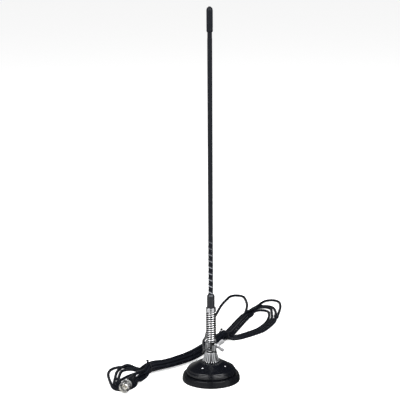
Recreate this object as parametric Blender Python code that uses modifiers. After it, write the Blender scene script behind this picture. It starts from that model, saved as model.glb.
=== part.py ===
"""Magnetic mount whip antenna with a fold-over joint, a shock spring and a coaxial lead.

Frame: origin at the middle of the base's underside, +Z up, the wing lever on +X, the lead's
loop behind (+Y) and the plug at the front left. Sizes below are millimetres, written once.
"""
import math

import bmesh
import bpy
import numpy as np
from mathutils import Matrix, Vector

MM = 0.001

# Clearances
GAP = 0.3            # between pieces that touch on the real product
RUN = 0.3            # radial running clearance of pins and rings

# Magnetic base
BASE_R = 50.0        # rubber boot, widest radius
BOOT_TAPER = 2.1     # its wall leans in by this much
BOOT_LIP_W = 5.4     # width of its flat lip
BOOT_TOP_R = BASE_R - BOOT_TAPER
BOOT_EDGE_H = 5.0    # height of the upright part of the boot's wall
BOOT_H = 11.9
BOOT_FLOOR = 1.2
COVER_NECK_R = BOOT_TOP_R - BOOT_LIP_W - GAP    # pressed steel cover, inside the boot
BEAD_OUT = 0.8       # bead, proud of the neck
COVER_BEAD_R = COVER_NECK_R + BEAD_OUT
COVER_WALL = 1.6
GROOVE_H = 1.2       # dark groove between boot and bead
BEAD_H = 4.6
SHOULDER_IN = 2.7    # shoulder, inside the bead
SHOULDER_R = COVER_BEAD_R - SHOULDER_IN
SHOULDER_H = 4.3
CONE_TOP_R = 20.5
CONE_H = 11.2
CONE_RUN = SHOULDER_R - CONE_TOP_R
MAGNET_H = 8.0
MAGNET_BORE_R = 14.0
POLE_H = 2.5
RIVET_SHARE = 0.404  # how far out on the cone the rivets sit
RIVET_RING_R = CONE_TOP_R + CONE_RUN * RIVET_SHARE
RIVET_HEAD_R = 1.9
RIVET_HEAD_H = 1.1
RIVET_SHANK_R = 1.2
RIVET_PEG_L = 14.0   # length of the pegs that cut the rivets' holes
RIVET_ANGLES = (-122.0, -32.0, 58.0, 148.0)
RIVET_PLATE_W = CONE_RUN * RIVET_SHARE
RIVET_PLATE_T = 1.2

# Stud stack through the middle of the base
STUD_R = 3.0
STUD_HEAD_R = 5.5
STUD_HEAD_H = 4.0
SPACER_WALL = 2.2
NUT_H = 4.2
NUT_R = 6.4
BUSH_WALL = 2.7
BUSH_FLANGE_R = 8.5
BUSH_FLANGE_H = 1.5
BUSH_SKIRT = 3.0     # how far the bush reaches below the cover

# Bell collar
BELL_FOOT_R = 15.5
BELL_LOW_R = 14.4
BELL_TOP_R = 10.0
BELL_H = 17.3
BELL_FOOT_H = 2.0
BELL_TOP_BORE_R = 4.3
BELL_TOP_BORE_H = 7.3
FLUTE_COUNT = 24
FLUTE_R = 0.9

# Fold-over joint
DISC_R = 7.2
DISC_H = 2.1
EAR_R = 7.3
EAR_CLEAR = 0.5      # ear's round end above the disc
BAR_R = 9.5          # the joint is cut from round bar
EAR_SPLIT = 0.6      # half of the slot between the ears
PIN_R = 2.9
FLANGE_R = 9.3
FLANGE_H = 1.3
FLANGE_CLEAR = 0.6   # flange above the lower ear's round end
BOSS_H = 9.0
WASHER_R = 6.8
WING_OUT = 23.2      # wing tips, from the middle
WING_HALF = 14.2     # wing tips, above and below the pin
WING_T = 2.2
HUB_R = 4.4
HUB_L = 4.0

# Shock spring
WIRE_D = 3.7
COIL_OD = 18.0
COIL_GAP = 0.27
COIL_TURNS = 12.2
BOSS_CLEAR = 0.5     # boss inside the coil

# Whip
COLLAR_R = 8.8
COLLAR_H = 7.5
COLLAR_BOSS_H = 8.0
FERRULE_R = 6.75
FERRULE_H = 23.5
FERRULE_STUD_H = 5.0
SCREW_R = 1.3
SCREW_L = 3.6
SLEEVE_R = 4.1
SLEEVE_WALL = 0.8
CORE_R = 1.8
WINDING_D = 0.9
WINDING_PITCH = 11.1
WINDING_L = 94.5
RIDGE_H = 0.45
RIDGE_W = 3.4
CORE_SEAT = 14.0     # depth of the core in the ferrule
SLEEVE_L = 344.0     # smooth sleeve above the winding
TIP_NECK_R = 3.9
TIP_NECK_L = 10.0    # bare neck under the cap
CAP_R = 5.3
CAP_L = 42.0
CAP_SEAT = 14.0      # neck's length inside the cap

# Coaxial lead
CABLE_R = 2.5
FLOOR_LIFT = 0.1
RELIEF_R = 3.3       # moulded strain relief at the bell
RELIEF_DEPTH = 4.5   # of its hole in the bell
HANK_R = 8.0         # bundle at its two ties
HANK_BULGE = 0.17    # share by which it is stouter between them
HANK_TAPER = 0.28    # share by which it is slimmer at its two ends
HANK_TAPER_L = 7.0
HANK_PLATE_H = 9.8
TIE_WIRE_R = 0.6
TIE_STEP = 1.6       # sideways step of the tie's wire in its one turn

# Plug
PLUG_NOSE = (-147.9, -81.8, 14.6)
PLUG_YAW = 72.0
PLUG_PITCH = 5.5
RING_R = 9.2
RING_L = 18.0
RING_BORE_R = 8.0
RING_LIP_L = 2.7
SHELL_R = 6.0
SHELL_FRONT = 6.0    # inner sleeve's mouth behind the ring's mouth
SHELL_FLANGE_R = 7.6
SHELL_FLANGE_L = 2.2
SHELL_WALL = 0.9
SHELL_TAIL = 12.0    # inside the boot
PIN_FRONT = 1.2
CONTACT_R = 2.0
BOOT_CONE_R = 7.0
BOOT_CONE_END_R = 4.3
BOOT_CONE_L = 31.7
BOOT_GRIP_L = 15.0   # stout front of the boot

# Heights that follow from the sizes
Z_COVER_FOOT = BOOT_FLOOR + GAP
Z_BEAD_LOW = BOOT_H + GROOVE_H
Z_BEAD_TOP = Z_BEAD_LOW + BEAD_H
Z_SHOULDER = Z_BEAD_TOP + SHOULDER_H
Z_COVER_TOP = Z_SHOULDER + CONE_H
Z_MAGNET = BOOT_FLOOR + GAP
Z_POLE = Z_MAGNET + MAGNET_H + GAP
Z_SPACER = Z_POLE + POLE_H + GAP
Z_BUSH_LOW = Z_COVER_TOP - COVER_WALL - BUSH_SKIRT
Z_NUT = Z_BUSH_LOW - GAP - NUT_H
Z_BELL = Z_COVER_TOP + GAP
Z_BELL_TOP = Z_BELL + BELL_H
Z_BORE_STEP = Z_BELL_TOP - BELL_TOP_BORE_H
Z_DISC = Z_BELL_TOP + GAP
Z_DISC_TOP = Z_DISC + DISC_H
Z_TILT = Z_DISC_TOP + EAR_CLEAR + EAR_R
Z_FLANGE = Z_TILT + EAR_R + FLANGE_CLEAR
Z_FLANGE_TOP = Z_FLANGE + FLANGE_H
COIL_PITCH = WIRE_D + COIL_GAP
Z_COIL_START = Z_FLANGE_TOP + GAP + WIRE_D / 2
Z_COIL_END = Z_COIL_START + COIL_TURNS * COIL_PITCH
Z_COLLAR = Z_COIL_END + WIRE_D / 2 + GAP
Z_FLEX = (Z_FLANGE_TOP + Z_COLLAR) / 2
Z_FERRULE = Z_COLLAR + COLLAR_H + GAP
Z_FERRULE_TOP = Z_FERRULE + FERRULE_H
Z_SLEEVE = Z_FERRULE_TOP + GAP
Z_WOUND_TOP = Z_SLEEVE + WINDING_L
Z_SMOOTH = Z_WOUND_TOP + GAP
Z_SLEEVE_TOP = Z_SMOOTH + SLEEVE_L
Z_NECK = Z_SLEEVE_TOP + GAP
Z_CAP = Z_NECK + TIP_NECK_L
Z_TOP = Z_CAP + CAP_L

# The lead's route and the hank's outline, chosen by hand, seen from above
RELIEF_ROUTE = [(-4.9, 6.5, 42.0), (-8.4, 11.2, 42.0), (-10.6, 14.8, 41.8), (-12.0, 19.0, 41.3),
                (-12.6, 24.5, 40.2), (-12.4, 31.0, 38.2)]
LEAD_ROUTE = [(-12.39, 31.29, 38.11), (-12.2, 40.0, 35.5), (-11.9, 50.0, 32.8), (-11.8, 62.0, 30.1),
              (-12.0, 80.0, 26.7), (-12.6, 100.0, 24.2), (-13.0, 116.0, 23.3),
              (-12.9, 130.0, 23.1), (-12.4, 146.0, 20.6), (-11.4, 168.0, 14.6), (-10.0, 190.0, 8.8),
              (-8.6, 208.0, 4.8), (-7.4, 226.0, 2.8), (-5.8, 246.0, 2.6), (-1.0, 288.0, 2.6),
              (5.0, 328.0, 2.6), (11.0, 360.0, 2.6), (19.0, 405.0, 2.6), (26.0, 435.0, 2.6),
              (32.0, 456.0, 2.6), (39.5, 472.0, 2.6), (51.0, 480.0, 2.6), (62.5, 475.0, 2.6),
              (69.5, 460.0, 2.6), (74.0, 440.0, 2.6), (75.5, 417.0, 2.6), (73.8, 389.0, 2.6),
              (70.6, 366.4, 2.6)]
TAIL_ROUTE = [(-132.43, -34.18, 19.42), (-128.9, -23.0, 19.7), (-125.3, -11.0, 17.8),
              (-121.8, -0.5, 14.9), (-119.0, 7.0, 13.1), (-117.0, 12.6, 12.75), (-114.8, 17.6, 12.75)]
SPINE = [(-118.0, 25.0, 7.6), (-109.0, 31.0, 9.6), (-92.0, 42.0, 9.8), (-75.0, 53.0, 10.1),
         (-60.0, 66.0, 10.3), (-45.0, 80.5, 10.4), (-32.0, 97.0, 10.4), (-20.0, 116.0, 10.4),
         (-8.5, 137.0, 10.3), (2.0, 158.0, 10.1), (14.0, 181.0, 9.8), (25.0, 203.0, 9.6),
         (30.5, 214.0, 7.8)]
TIE_AT = (1, 11)     # the ties sit on these points of the spine
LEFT_OUTLINE = [(-115.4, 36.4), (-120.5, 50.0), (-128.0, 60.5), (-139.0, 65.3), (-150.0, 64.2),
                (-161.0, 63.4), (-172.0, 57.0), (-179.5, 43.0), (-182.5, 23.0), (-180.8, 3.0),
                (-177.6, -14.5), (-173.4, -32.0), (-168.2, -44.8), (-160.6, -57.2), (-151.0, -62.5),
                (-141.4, -57.0), (-134.7, -43.0), (-126.7, -21.0), (-118.7, -2.0), (-111.2, 16.0),
                (-107.8, 21.6)]
LEFT_EYES = [[(-128.0, 39.5), (-133.0, 43.5), (-144.0, 42.5), (-150.5, 35.0), (-153.8, 20.0),
              (-154.0, 7.0), (-148.5, 8.0), (-140.0, 19.5), (-131.0, 30.5)],
             [(-127.2, 12.0), (-133.0, 17.5), (-142.5, 3.5), (-149.5, -9.0), (-152.3, -20.0),
              (-151.0, -31.0), (-144.5, -36.0), (-138.0, -30.0), (-133.0, -15.0), (-128.5, 0.0)]]
RIGHT_OUTLINE = [(21.4, 211.8), (27.5, 234.0), (33.5, 251.0), (38.6, 266.0), (44.8, 283.0),
                 (50.8, 301.8), (56.8, 319.0), (62.2, 334.0), (65.6, 350.0), (68.1, 366.5),
                 (73.0, 365.6), (75.7, 373.0), (90.8, 406.5), (104.6, 427.8), (116.5, 441.5),
                 (129.6, 447.8), (139.4, 434.5), (143.5, 414.5), (144.5, 393.0), (139.6, 368.5),
                 (134.2, 346.0), (128.4, 317.3), (121.4, 291.0), (113.2, 268.5), (98.9, 246.3),
                 (86.8, 234.2), (75.8, 222.2), (63.8, 211.2), (52.0, 204.6), (43.0, 202.0),
                 (36.6, 200.6)]
RIGHT_EYE = [(45.0, 226.0), (49.5, 241.0), (55.0, 260.0), (61.0, 281.0), (67.0, 300.0),
             (73.0, 318.0), (79.0, 338.0), (88.0, 362.0), (96.0, 376.0), (103.0, 381.0),
             (109.0, 376.0), (112.6, 361.0), (113.8, 342.0), (112.8, 321.0), (108.6, 302.0),
             (101.6, 287.5), (91.6, 273.5), (80.6, 260.5), (70.0, 247.5), (59.0, 235.0),
             (50.0, 226.0)]


def clear_scene():
    """Remove what a new file holds."""
    for obj in list(bpy.data.objects):
        bpy.data.objects.remove(obj, do_unlink=True)


clear_scene()
PARTS = bpy.data.collections.new("magnetic_mount_antenna")
CUTTERS = bpy.data.collections.new("cutters")
bpy.context.scene.collection.children.link(PARTS)
bpy.context.scene.collection.children.link(CUTTERS)


def finish(name, colour, roughness, metallic):
    """Make one Principled material."""
    material = bpy.data.materials.new(name)
    material.use_nodes = True
    shader = material.node_tree.nodes["Principled BSDF"]
    shader.inputs["Base Color"].default_value = (*colour, 1.0)
    shader.inputs["Roughness"].default_value = roughness
    shader.inputs["Metallic"].default_value = metallic
    return material


RUBBER = finish("black_rubber", (0.022, 0.022, 0.023), 0.62, 0.0)
BLACK_PAINT = finish("black_paint", (0.016, 0.016, 0.018), 0.34, 0.0)
FERRITE = finish("dark_ferrite", (0.055, 0.053, 0.052), 0.7, 0.1)
STEEL = finish("plated_steel", (0.55, 0.55, 0.54), 0.35, 1.0)
CHROME = finish("bright_chrome", (0.78, 0.78, 0.79), 0.1, 1.0)
NICKEL = finish("nickel", (0.64, 0.61, 0.56), 0.22, 1.0)
NYLON = finish("white_nylon", (0.7, 0.68, 0.62), 0.5, 0.0)
DARK_METAL = finish("dark_ferrule", (0.05, 0.052, 0.055), 0.38, 0.6)
GLASSFIBRE = finish("glassfibre_rod", (0.5, 0.48, 0.4), 0.5, 0.0)
COPPER = finish("copper_winding", (0.6, 0.3, 0.18), 0.35, 1.0)
SLEEVE = finish("black_sleeve", (0.02, 0.02, 0.021), 0.45, 0.0)
VINYL = finish("black_vinyl", (0.018, 0.018, 0.019), 0.38, 0.0)
INSULATOR = finish("plug_insulator", (0.58, 0.5, 0.36), 0.55, 0.0)


def link(obj, material=None, cutter=False):
    """Put an object in its collection and give it its material."""
    for collection in list(obj.users_collection):
        collection.objects.unlink(obj)
    (CUTTERS if cutter else PARTS).objects.link(obj)
    if cutter:
        obj.hide_render = True
        obj.display_type = "WIRE"
    if material is not None:
        obj.data.materials.append(material)
    return obj


def smooth(mesh, angle=32.0):
    """Shade a round piece smooth and keep its edges sharp."""
    mesh.shade_smooth()
    mesh.set_sharp_from_angle(angle=math.radians(angle))


def turned(name, profile, material=None, steps=40, closed=False, cutter=False):
    """Turn a profile of (radius, height) about Z. Its outer side runs from top to bottom."""
    mesh = bpy.data.meshes.new(name)
    verts = [(r * MM, 0.0, z * MM) for r, z in profile]
    edges = [(i, i + 1) for i in range(len(verts) - 1)]
    if closed:
        edges.append((len(verts) - 1, 0))
    mesh.from_pydata(verts, edges, [])
    obj = bpy.data.objects.new(name, mesh)
    link(obj, material, cutter)
    screw = obj.modifiers.new("turn", "SCREW")
    screw.axis = "Z"
    screw.angle = math.tau
    screw.steps = steps
    screw.render_steps = steps
    screw.use_merge_vertices = True
    screw.merge_threshold = 0.00001
    screw.use_smooth_shade = True
    return obj


def evaluated_mesh(obj, name):
    """The object's evaluated mesh, with a curve's loose caps welded on."""
    graph = bpy.context.evaluated_depsgraph_get()
    mesh = bpy.data.meshes.new_from_object(obj.evaluated_get(graph))
    mesh.name = name
    work = bmesh.new()
    work.from_mesh(mesh)
    bmesh.ops.remove_doubles(work, verts=work.verts, dist=0.000002)
    bmesh.ops.recalc_face_normals(work, faces=work.faces)
    work.to_mesh(mesh)
    work.free()
    return mesh


def as_mesh(obj, material=None, cutter=False):
    """Replace a curve or a modified object by a plain mesh object of the same name."""
    name = obj.name
    bpy.context.view_layer.update()
    mesh = evaluated_mesh(obj, name)
    place = obj.matrix_world.copy()
    old = obj.data
    bpy.data.objects.remove(obj, do_unlink=True)
    if isinstance(old, bpy.types.Curve):
        bpy.data.curves.remove(old)
    mesh.materials.clear()
    new = bpy.data.objects.new(name, mesh)
    new.matrix_world = place
    return link(new, material, cutter)


def flat_outline(name, outlines, thickness, material=None, cutter=False):
    """Extrude flat outlines, the first the outer one and the rest its holes, as a mesh object."""
    curve = bpy.data.curves.new(name, "CURVE")
    curve.dimensions = "2D"
    curve.fill_mode = "BOTH"
    curve.extrude = thickness * MM / 2
    for outline in outlines:
        spline = curve.splines.new("POLY")
        spline.points.add(len(outline) - 1)
        for point, (x, y) in zip(spline.points, outline):
            point.co = (x * MM, y * MM, 0.0, 1.0)
        spline.use_cyclic_u = True
    obj = bpy.data.objects.new(name, curve)
    link(obj, None, cutter)
    return as_mesh(obj, material, cutter)


def tube(name, points, radius, material, resolution=3, radii=None, cyclic=False):
    """A round tube along points, as a curve with filled caps."""
    curve = bpy.data.curves.new(name, "CURVE")
    curve.dimensions = "3D"
    curve.bevel_depth = radius * MM
    curve.bevel_resolution = resolution
    curve.use_fill_caps = True
    spline = curve.splines.new("POLY")
    spline.points.add(len(points) - 1)
    for i, point in enumerate(points):
        spline.points[i].co = (point[0] * MM, point[1] * MM, point[2] * MM, 1.0)
        spline.points[i].radius = 1.0 if radii is None else radii[i]
    spline.use_cyclic_u = cyclic
    obj = bpy.data.objects.new(name, curve)
    link(obj)
    curve.materials.append(material)
    return obj


def smooth_route(points, spacing, closed=False):
    """Points about `spacing` apart along a smooth curve through the given ones."""
    given = [np.array(p, float) for p in points]
    if closed:
        given = [given[-1], *given, given[0], given[1]]
    else:
        given = [2 * given[0] - given[1], *given, 2 * given[-1] - given[-2]]
    fine = []
    for p0, p1, p2, p3 in zip(given, given[1:], given[2:], given[3:]):
        for t in np.linspace(0.0, 1.0, 16, endpoint=False):
            fine.append(0.5 * (2 * p1 + (p2 - p0) * t + (2 * p0 - 5 * p1 + 4 * p2 - p3) * t ** 2
                               + (3 * p1 - p0 - 3 * p2 + p3) * t ** 3))
    fine.append(given[-2])
    fine = np.array(fine)
    run = np.concatenate([[0.0], np.cumsum(np.linalg.norm(np.diff(fine, axis=0), axis=1))])
    count = max(2, int(round(run[-1] / spacing)) + 1)
    at = np.linspace(0.0, run[-1], count)
    out = np.stack([np.interp(at, run, fine[:, k]) for k in range(fine.shape[1])], axis=1)
    return [tuple(p) for p in (out[:-1] if closed else out)]


def boolean(obj, other, operation):
    """Add an exact boolean and hide the other object with the cutters."""
    step = obj.modifiers.new(operation.lower(), "BOOLEAN")
    step.operation = operation
    step.solver = "EXACT"
    step.object = other
    if other.name not in CUTTERS.objects:
        link(other, None, True)
    return obj


def cylinder(name, radius, low, high, segments=24, cutter=True, radius_top=None):
    """A cylinder or cone on the Z axis between two heights."""
    mesh = bpy.data.meshes.new(name)
    work = bmesh.new()
    top = radius if radius_top is None else radius_top
    bmesh.ops.create_cone(work, cap_ends=True, segments=segments, radius1=radius * MM,
                          radius2=top * MM, depth=(high - low) * MM,
                          matrix=Matrix.Translation((0, 0, (low + high) / 2 * MM)))
    work.to_mesh(mesh)
    work.free()
    obj = bpy.data.objects.new(name, mesh)
    return link(obj, None, cutter)


def bring(obj, matrix):
    """Apply a placement to a mesh object's own vertices."""
    obj.data.transform(matrix)
    obj.data.update()
    return obj


def axis_empty(name, location, rotation=(0.0, 0.0, 0.0)):
    """An empty on a joint's axis."""
    empty = bpy.data.objects.new(name, None)
    empty.empty_display_size = 0.01
    PARTS.objects.link(empty)
    empty.location = [value * MM for value in location]
    empty.rotation_euler = rotation
    return empty


def hold(parent, *children):
    """Parent children to an empty and leave them where they are."""
    bpy.context.view_layer.update()
    for child in children:
        child.parent = parent
        child.matrix_parent_inverse = parent.matrix_world.inverted()


def along(direction, at):
    """A placement whose Z axis points along a direction."""
    turn = Vector(direction).normalized().to_track_quat("Z", "Y").to_matrix().to_4x4()
    return Matrix.Translation(Vector(at) * MM) @ turn


TO_X = Matrix.Rotation(math.radians(90.0), 4, "Y")
FACE_X = Matrix(((0, 0, 1, 0), (1, 0, 0, 0), (0, 1, 0, 0), (0, 0, 0, 1)))
FACE_Y = Matrix.Rotation(math.radians(90.0), 4, "X")


def arc(cx, cy, radius, start, end, count):
    """Points of an arc, angles in degrees."""
    angles = [math.radians(start + (end - start) * i / (count - 1)) for i in range(count)]
    return [(cx + radius * math.cos(a), cy + radius * math.sin(a)) for a in angles]


# Magnetic base
def cone_point(radius, depth=0.0):
    """A point of the cover's cone at a radius, moved inwards by a depth."""
    run, rise = CONE_RUN, CONE_H
    length = math.hypot(run, rise)
    z = Z_SHOULDER + (SHOULDER_R - radius) * rise / run
    return radius - depth * rise / length, z - depth * run / length


def rubber_boot():
    """The soft cup that grips the base and keeps the magnet off the paint."""
    pocket = COVER_NECK_R + GAP
    return turned("rubber_boot", [
        (0, BOOT_FLOOR), (pocket, BOOT_FLOOR), (pocket, BOOT_H - 0.5), (pocket + 0.5, BOOT_H),
        (BOOT_TOP_R - 0.6, BOOT_H), (BOOT_TOP_R, BOOT_H - 0.5), (BASE_R - 0.1, BOOT_EDGE_H + 0.4),
        (BASE_R, BOOT_EDGE_H), (BASE_R, 0.6), (BASE_R - 0.6, 0.0), (0, 0.0)], RUBBER, 44)


def rivet_holes(name):
    """Four pegs square to the cone, to cut the rivets' holes."""
    mesh = bpy.data.meshes.new(name)
    work = bmesh.new()
    for angle in RIVET_ANGLES:
        bmesh.ops.create_cone(work, cap_ends=True, segments=12,
                              radius1=(RIVET_SHANK_R + GAP) * MM, radius2=(RIVET_SHANK_R + GAP) * MM,
                              depth=RIVET_PEG_L * MM, matrix=rivet_place(angle))
    work.to_mesh(mesh)
    work.free()
    return link(bpy.data.objects.new(name, mesh), None, True)


def rivet_place(angle):
    """Where a rivet meets the cone's surface, with Z along the surface's normal."""
    run, rise = CONE_RUN, CONE_H
    length = math.hypot(run, rise)
    turn = math.radians(angle)
    r, z = cone_point(RIVET_RING_R)
    outward = Vector((math.cos(turn), math.sin(turn), 0.0))
    normal = outward * (rise / length) + Vector((0, 0, run / length))
    return along(normal, (outward.x * r, outward.y * r, z))


def base_cover(holes):
    """The pressed steel cover: skirt, bead, shoulder, cone and flat crown with its hole."""
    hole = STUD_R + RUN + BUSH_WALL + GAP
    cover = turned("base_cover", [
        (hole, Z_COVER_TOP), (CONE_TOP_R, Z_COVER_TOP), (SHOULDER_R, Z_SHOULDER),
        (COVER_BEAD_R - 0.5, Z_BEAD_TOP + 0.6), (COVER_BEAD_R, Z_BEAD_TOP - 0.4),
        (COVER_BEAD_R, Z_BEAD_LOW + 0.6), (COVER_NECK_R, Z_BEAD_LOW - 0.4),
        (COVER_NECK_R, Z_COVER_FOOT)], BLACK_PAINT, 44)
    wall = cover.modifiers.new("wall", "SOLIDIFY")
    wall.thickness = COVER_WALL * MM
    wall.offset = -1.0
    wall.use_even_offset = True
    return boolean(cover, holes, "DIFFERENCE")


def rivet_plate(holes):
    """The conical ring that the rivets hold under the cover."""
    low = RIVET_RING_R + RIVET_PLATE_W / 2
    high = RIVET_RING_R - RIVET_PLATE_W / 2
    top, bottom = COVER_WALL + GAP, COVER_WALL + GAP + RIVET_PLATE_T
    plate = turned("rivet_plate", [cone_point(high, top), cone_point(low, top),
                                   cone_point(low, bottom), cone_point(high, bottom)],
                   STEEL, 32, closed=True)
    return boolean(plate, holes, "DIFFERENCE")


def rivets():
    """Domed heads on the cone, with their shanks and turned-over tails."""
    inside = COVER_WALL + GAP + RIVET_PLATE_T + GAP
    mesh = None
    made = []
    for number, angle in enumerate(RIVET_ANGLES, 1):
        name = f"rivet_{number}"
        if mesh is None:
            first = turned(name, [
                (0, GAP + RIVET_HEAD_H), (RIVET_HEAD_R * 0.55, GAP + RIVET_HEAD_H * 0.85),
                (RIVET_HEAD_R * 0.9, GAP + RIVET_HEAD_H * 0.45), (RIVET_HEAD_R, GAP),
                (RIVET_SHANK_R, GAP), (RIVET_SHANK_R, -inside), (RIVET_SHANK_R + 0.6, -inside),
                (RIVET_SHANK_R + 0.3, -inside - 0.8), (0, -inside - 0.8)], None, 10)
            rivet = as_mesh(first, CHROME)
            mesh = rivet.data
            smooth(mesh)
        else:
            rivet = link(bpy.data.objects.new(name, mesh))
        rivet.matrix_world = rivet_place(angle)
        made.append(rivet)
    return made


def magnet_and_pole():
    """The ring magnet and the steel pole disc on it, inside the cover."""
    radius = COVER_NECK_R - COVER_WALL - GAP
    magnet = turned("magnet_ring", [
        (radius - 0.5, Z_MAGNET + MAGNET_H), (radius, Z_MAGNET + MAGNET_H - 0.5),
        (radius, Z_MAGNET), (MAGNET_BORE_R, Z_MAGNET), (MAGNET_BORE_R, Z_MAGNET + MAGNET_H)],
        FERRITE, 44, closed=True)
    pole = turned("pole_plate", [
        (radius, Z_POLE + POLE_H), (radius, Z_POLE), (STUD_R + RUN, Z_POLE),
        (STUD_R + RUN, Z_POLE + POLE_H)], STEEL, 44, closed=True)
    return magnet, pole


def stud_stack():
    """The live stud with its head, spacer, nut and insulating bush."""
    head_top = Z_POLE - GAP
    top = Z_BORE_STEP - GAP
    bore = STUD_R + RUN
    stud = turned("centre_stud", [
        (0, top), (STUD_R - 0.5, top), (STUD_R, top - 0.5), (STUD_R, head_top),
        (STUD_HEAD_R, head_top), (STUD_HEAD_R, head_top - STUD_HEAD_H + 0.5),
        (STUD_HEAD_R - 0.5, head_top - STUD_HEAD_H), (0, head_top - STUD_HEAD_H)], STEEL, 18)
    spacer = turned("spacer_tube", [
        (bore + SPACER_WALL, Z_NUT - GAP), (bore + SPACER_WALL, Z_SPACER), (bore, Z_SPACER),
        (bore, Z_NUT - GAP)], STEEL, 18, closed=True)
    nut = cylinder("clamp_nut", NUT_R, Z_NUT, Z_NUT + NUT_H, 6, cutter=False)
    nut.data.materials.append(STEEL)
    boolean(nut, cylinder("nut_bore", bore, Z_NUT - 1.0, Z_NUT + NUT_H + 1.0), "DIFFERENCE")
    spigot = bore + BUSH_WALL
    bush = turned("insulating_bush", [
        (BUSH_FLANGE_R, Z_BELL + BUSH_FLANGE_H), (BUSH_FLANGE_R, Z_BELL), (spigot, Z_BELL),
        (spigot, Z_BUSH_LOW), (bore, Z_BUSH_LOW), (bore, Z_BELL + BUSH_FLANGE_H)],
        NYLON, 24, closed=True)
    return stud, spacer, nut, bush


# Bell collar
def bell_radius(z):
    """Outer radius of the bell's cone at a height."""
    low = Z_BELL + BELL_FOOT_H + 0.4
    return BELL_LOW_R + (BELL_TOP_R - BELL_LOW_R) * (z - low) / (Z_BELL_TOP - 0.6 - low)


def flute_cutters():
    """Slender pegs laid on the bell's cone, one for each flute."""
    mesh = bpy.data.meshes.new("flutes")
    work = bmesh.new()
    low, high = Z_BELL + BELL_FOOT_H + 1.4, Z_BELL_TOP - 2.0
    r_low, r_high = bell_radius(low) + FLUTE_R * 0.35, bell_radius(high) + FLUTE_R * 0.35
    slope = Vector((r_high - r_low, 0.0, high - low))
    for i in range(FLUTE_COUNT):
        turn = Matrix.Rotation(math.tau * (i + 0.5) / FLUTE_COUNT, 4, "Z")
        place = turn @ along(slope, ((r_low + r_high) / 2, 0.0, (low + high) / 2))
        bmesh.ops.create_cone(work, cap_ends=True, segments=6, radius1=FLUTE_R * MM,
                              radius2=FLUTE_R * 0.75 * MM, depth=slope.length * MM, matrix=place)
    work.to_mesh(mesh)
    work.free()
    return link(bpy.data.objects.new("flutes", mesh), None, True)


def bell_collar():
    """The chromed bell: foot flange, fluted cone, recess for the bush and stepped bore."""
    bore = STUD_R + RUN
    recess_r, recess_z = BUSH_FLANGE_R + GAP, Z_BELL + BUSH_FLANGE_H + GAP
    bell = turned("bell_collar", [
        (BELL_TOP_R - 0.6, Z_BELL_TOP), (BELL_TOP_R, Z_BELL_TOP - 0.6),
        (BELL_LOW_R, Z_BELL + BELL_FOOT_H + 0.4), (BELL_FOOT_R - 0.3, Z_BELL + BELL_FOOT_H),
        (BELL_FOOT_R, Z_BELL + BELL_FOOT_H - 0.5), (BELL_FOOT_R, Z_BELL + 0.4),
        (BELL_FOOT_R - 0.3, Z_BELL), (recess_r, Z_BELL), (recess_r, recess_z), (bore, recess_z),
        (bore, Z_BORE_STEP), (BELL_TOP_BORE_R, Z_BORE_STEP), (BELL_TOP_BORE_R, Z_BELL_TOP)],
        CHROME, FLUTE_COUNT, closed=True)
    boolean(bell, flute_cutters(), "DIFFERENCE")
    way = Vector(RELIEF_ROUTE[1]) - Vector(RELIEF_ROUTE[0])
    hole = cylinder("relief_hole", RELIEF_R + GAP, -GAP, RELIEF_DEPTH * 3, 20)
    bring(hole, along(way, RELIEF_ROUTE[0]))
    return boolean(bell, hole, "DIFFERENCE")


# Fold-over joint
def ear_blank(name, x_low, x_high, top, bottom):
    """A round-ended ear across X, cut to the round bar's outline."""
    outline = []
    if top is None:
        outline += arc(0.0, Z_TILT, EAR_R, 0.0, 180.0, 17)
        outline += [(-EAR_R, bottom), (EAR_R, bottom)]
    else:
        outline += arc(0.0, Z_TILT, EAR_R, 180.0, 360.0, 17)
        outline += [(EAR_R, top), (-EAR_R, top)]
    ear = flat_outline(name, [outline], x_high - x_low)
    bring(ear, Matrix.Translation(((x_low + x_high) / 2 * MM, 0, 0)) @ FACE_X)
    bar = cylinder(f"{name}_bar", BAR_R, Z_DISC - 5.0, Z_FLANGE_TOP + 5.0, 40)
    return boolean(ear, bar, "INTERSECT")


def pin_bore(name, x_low, x_high):
    """A bore along the tilt axis."""
    hole = cylinder(name, PIN_R + RUN, x_low, x_high, 20)
    return bring(hole, Matrix.Translation((0, 0, Z_TILT * MM)) @ TO_X)


def lower_knuckle():
    """Spigot and disc on the bell, with the right-hand ear that stands on them."""
    spigot_r, spigot_low = BELL_TOP_BORE_R - RUN, Z_BORE_STEP + GAP
    disc = turned("lower_disc", [
        (0, Z_DISC_TOP), (DISC_R - 0.4, Z_DISC_TOP), (DISC_R, Z_DISC_TOP - 0.4), (DISC_R, Z_DISC),
        (spigot_r, Z_DISC), (spigot_r, spigot_low), (0, spigot_low)], None, 32, cutter=True)
    ear = ear_blank("lower_ear", EAR_SPLIT, BAR_R, None, Z_DISC + DISC_H / 2)
    boolean(ear, disc, "UNION")
    boolean(ear, pin_bore("lower_bore", -1.0, BAR_R + 1.0), "DIFFERENCE")
    knuckle = as_mesh(ear, CHROME)
    knuckle.name = "lower_knuckle"
    smooth(knuckle.data, 25.0)
    return knuckle


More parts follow.
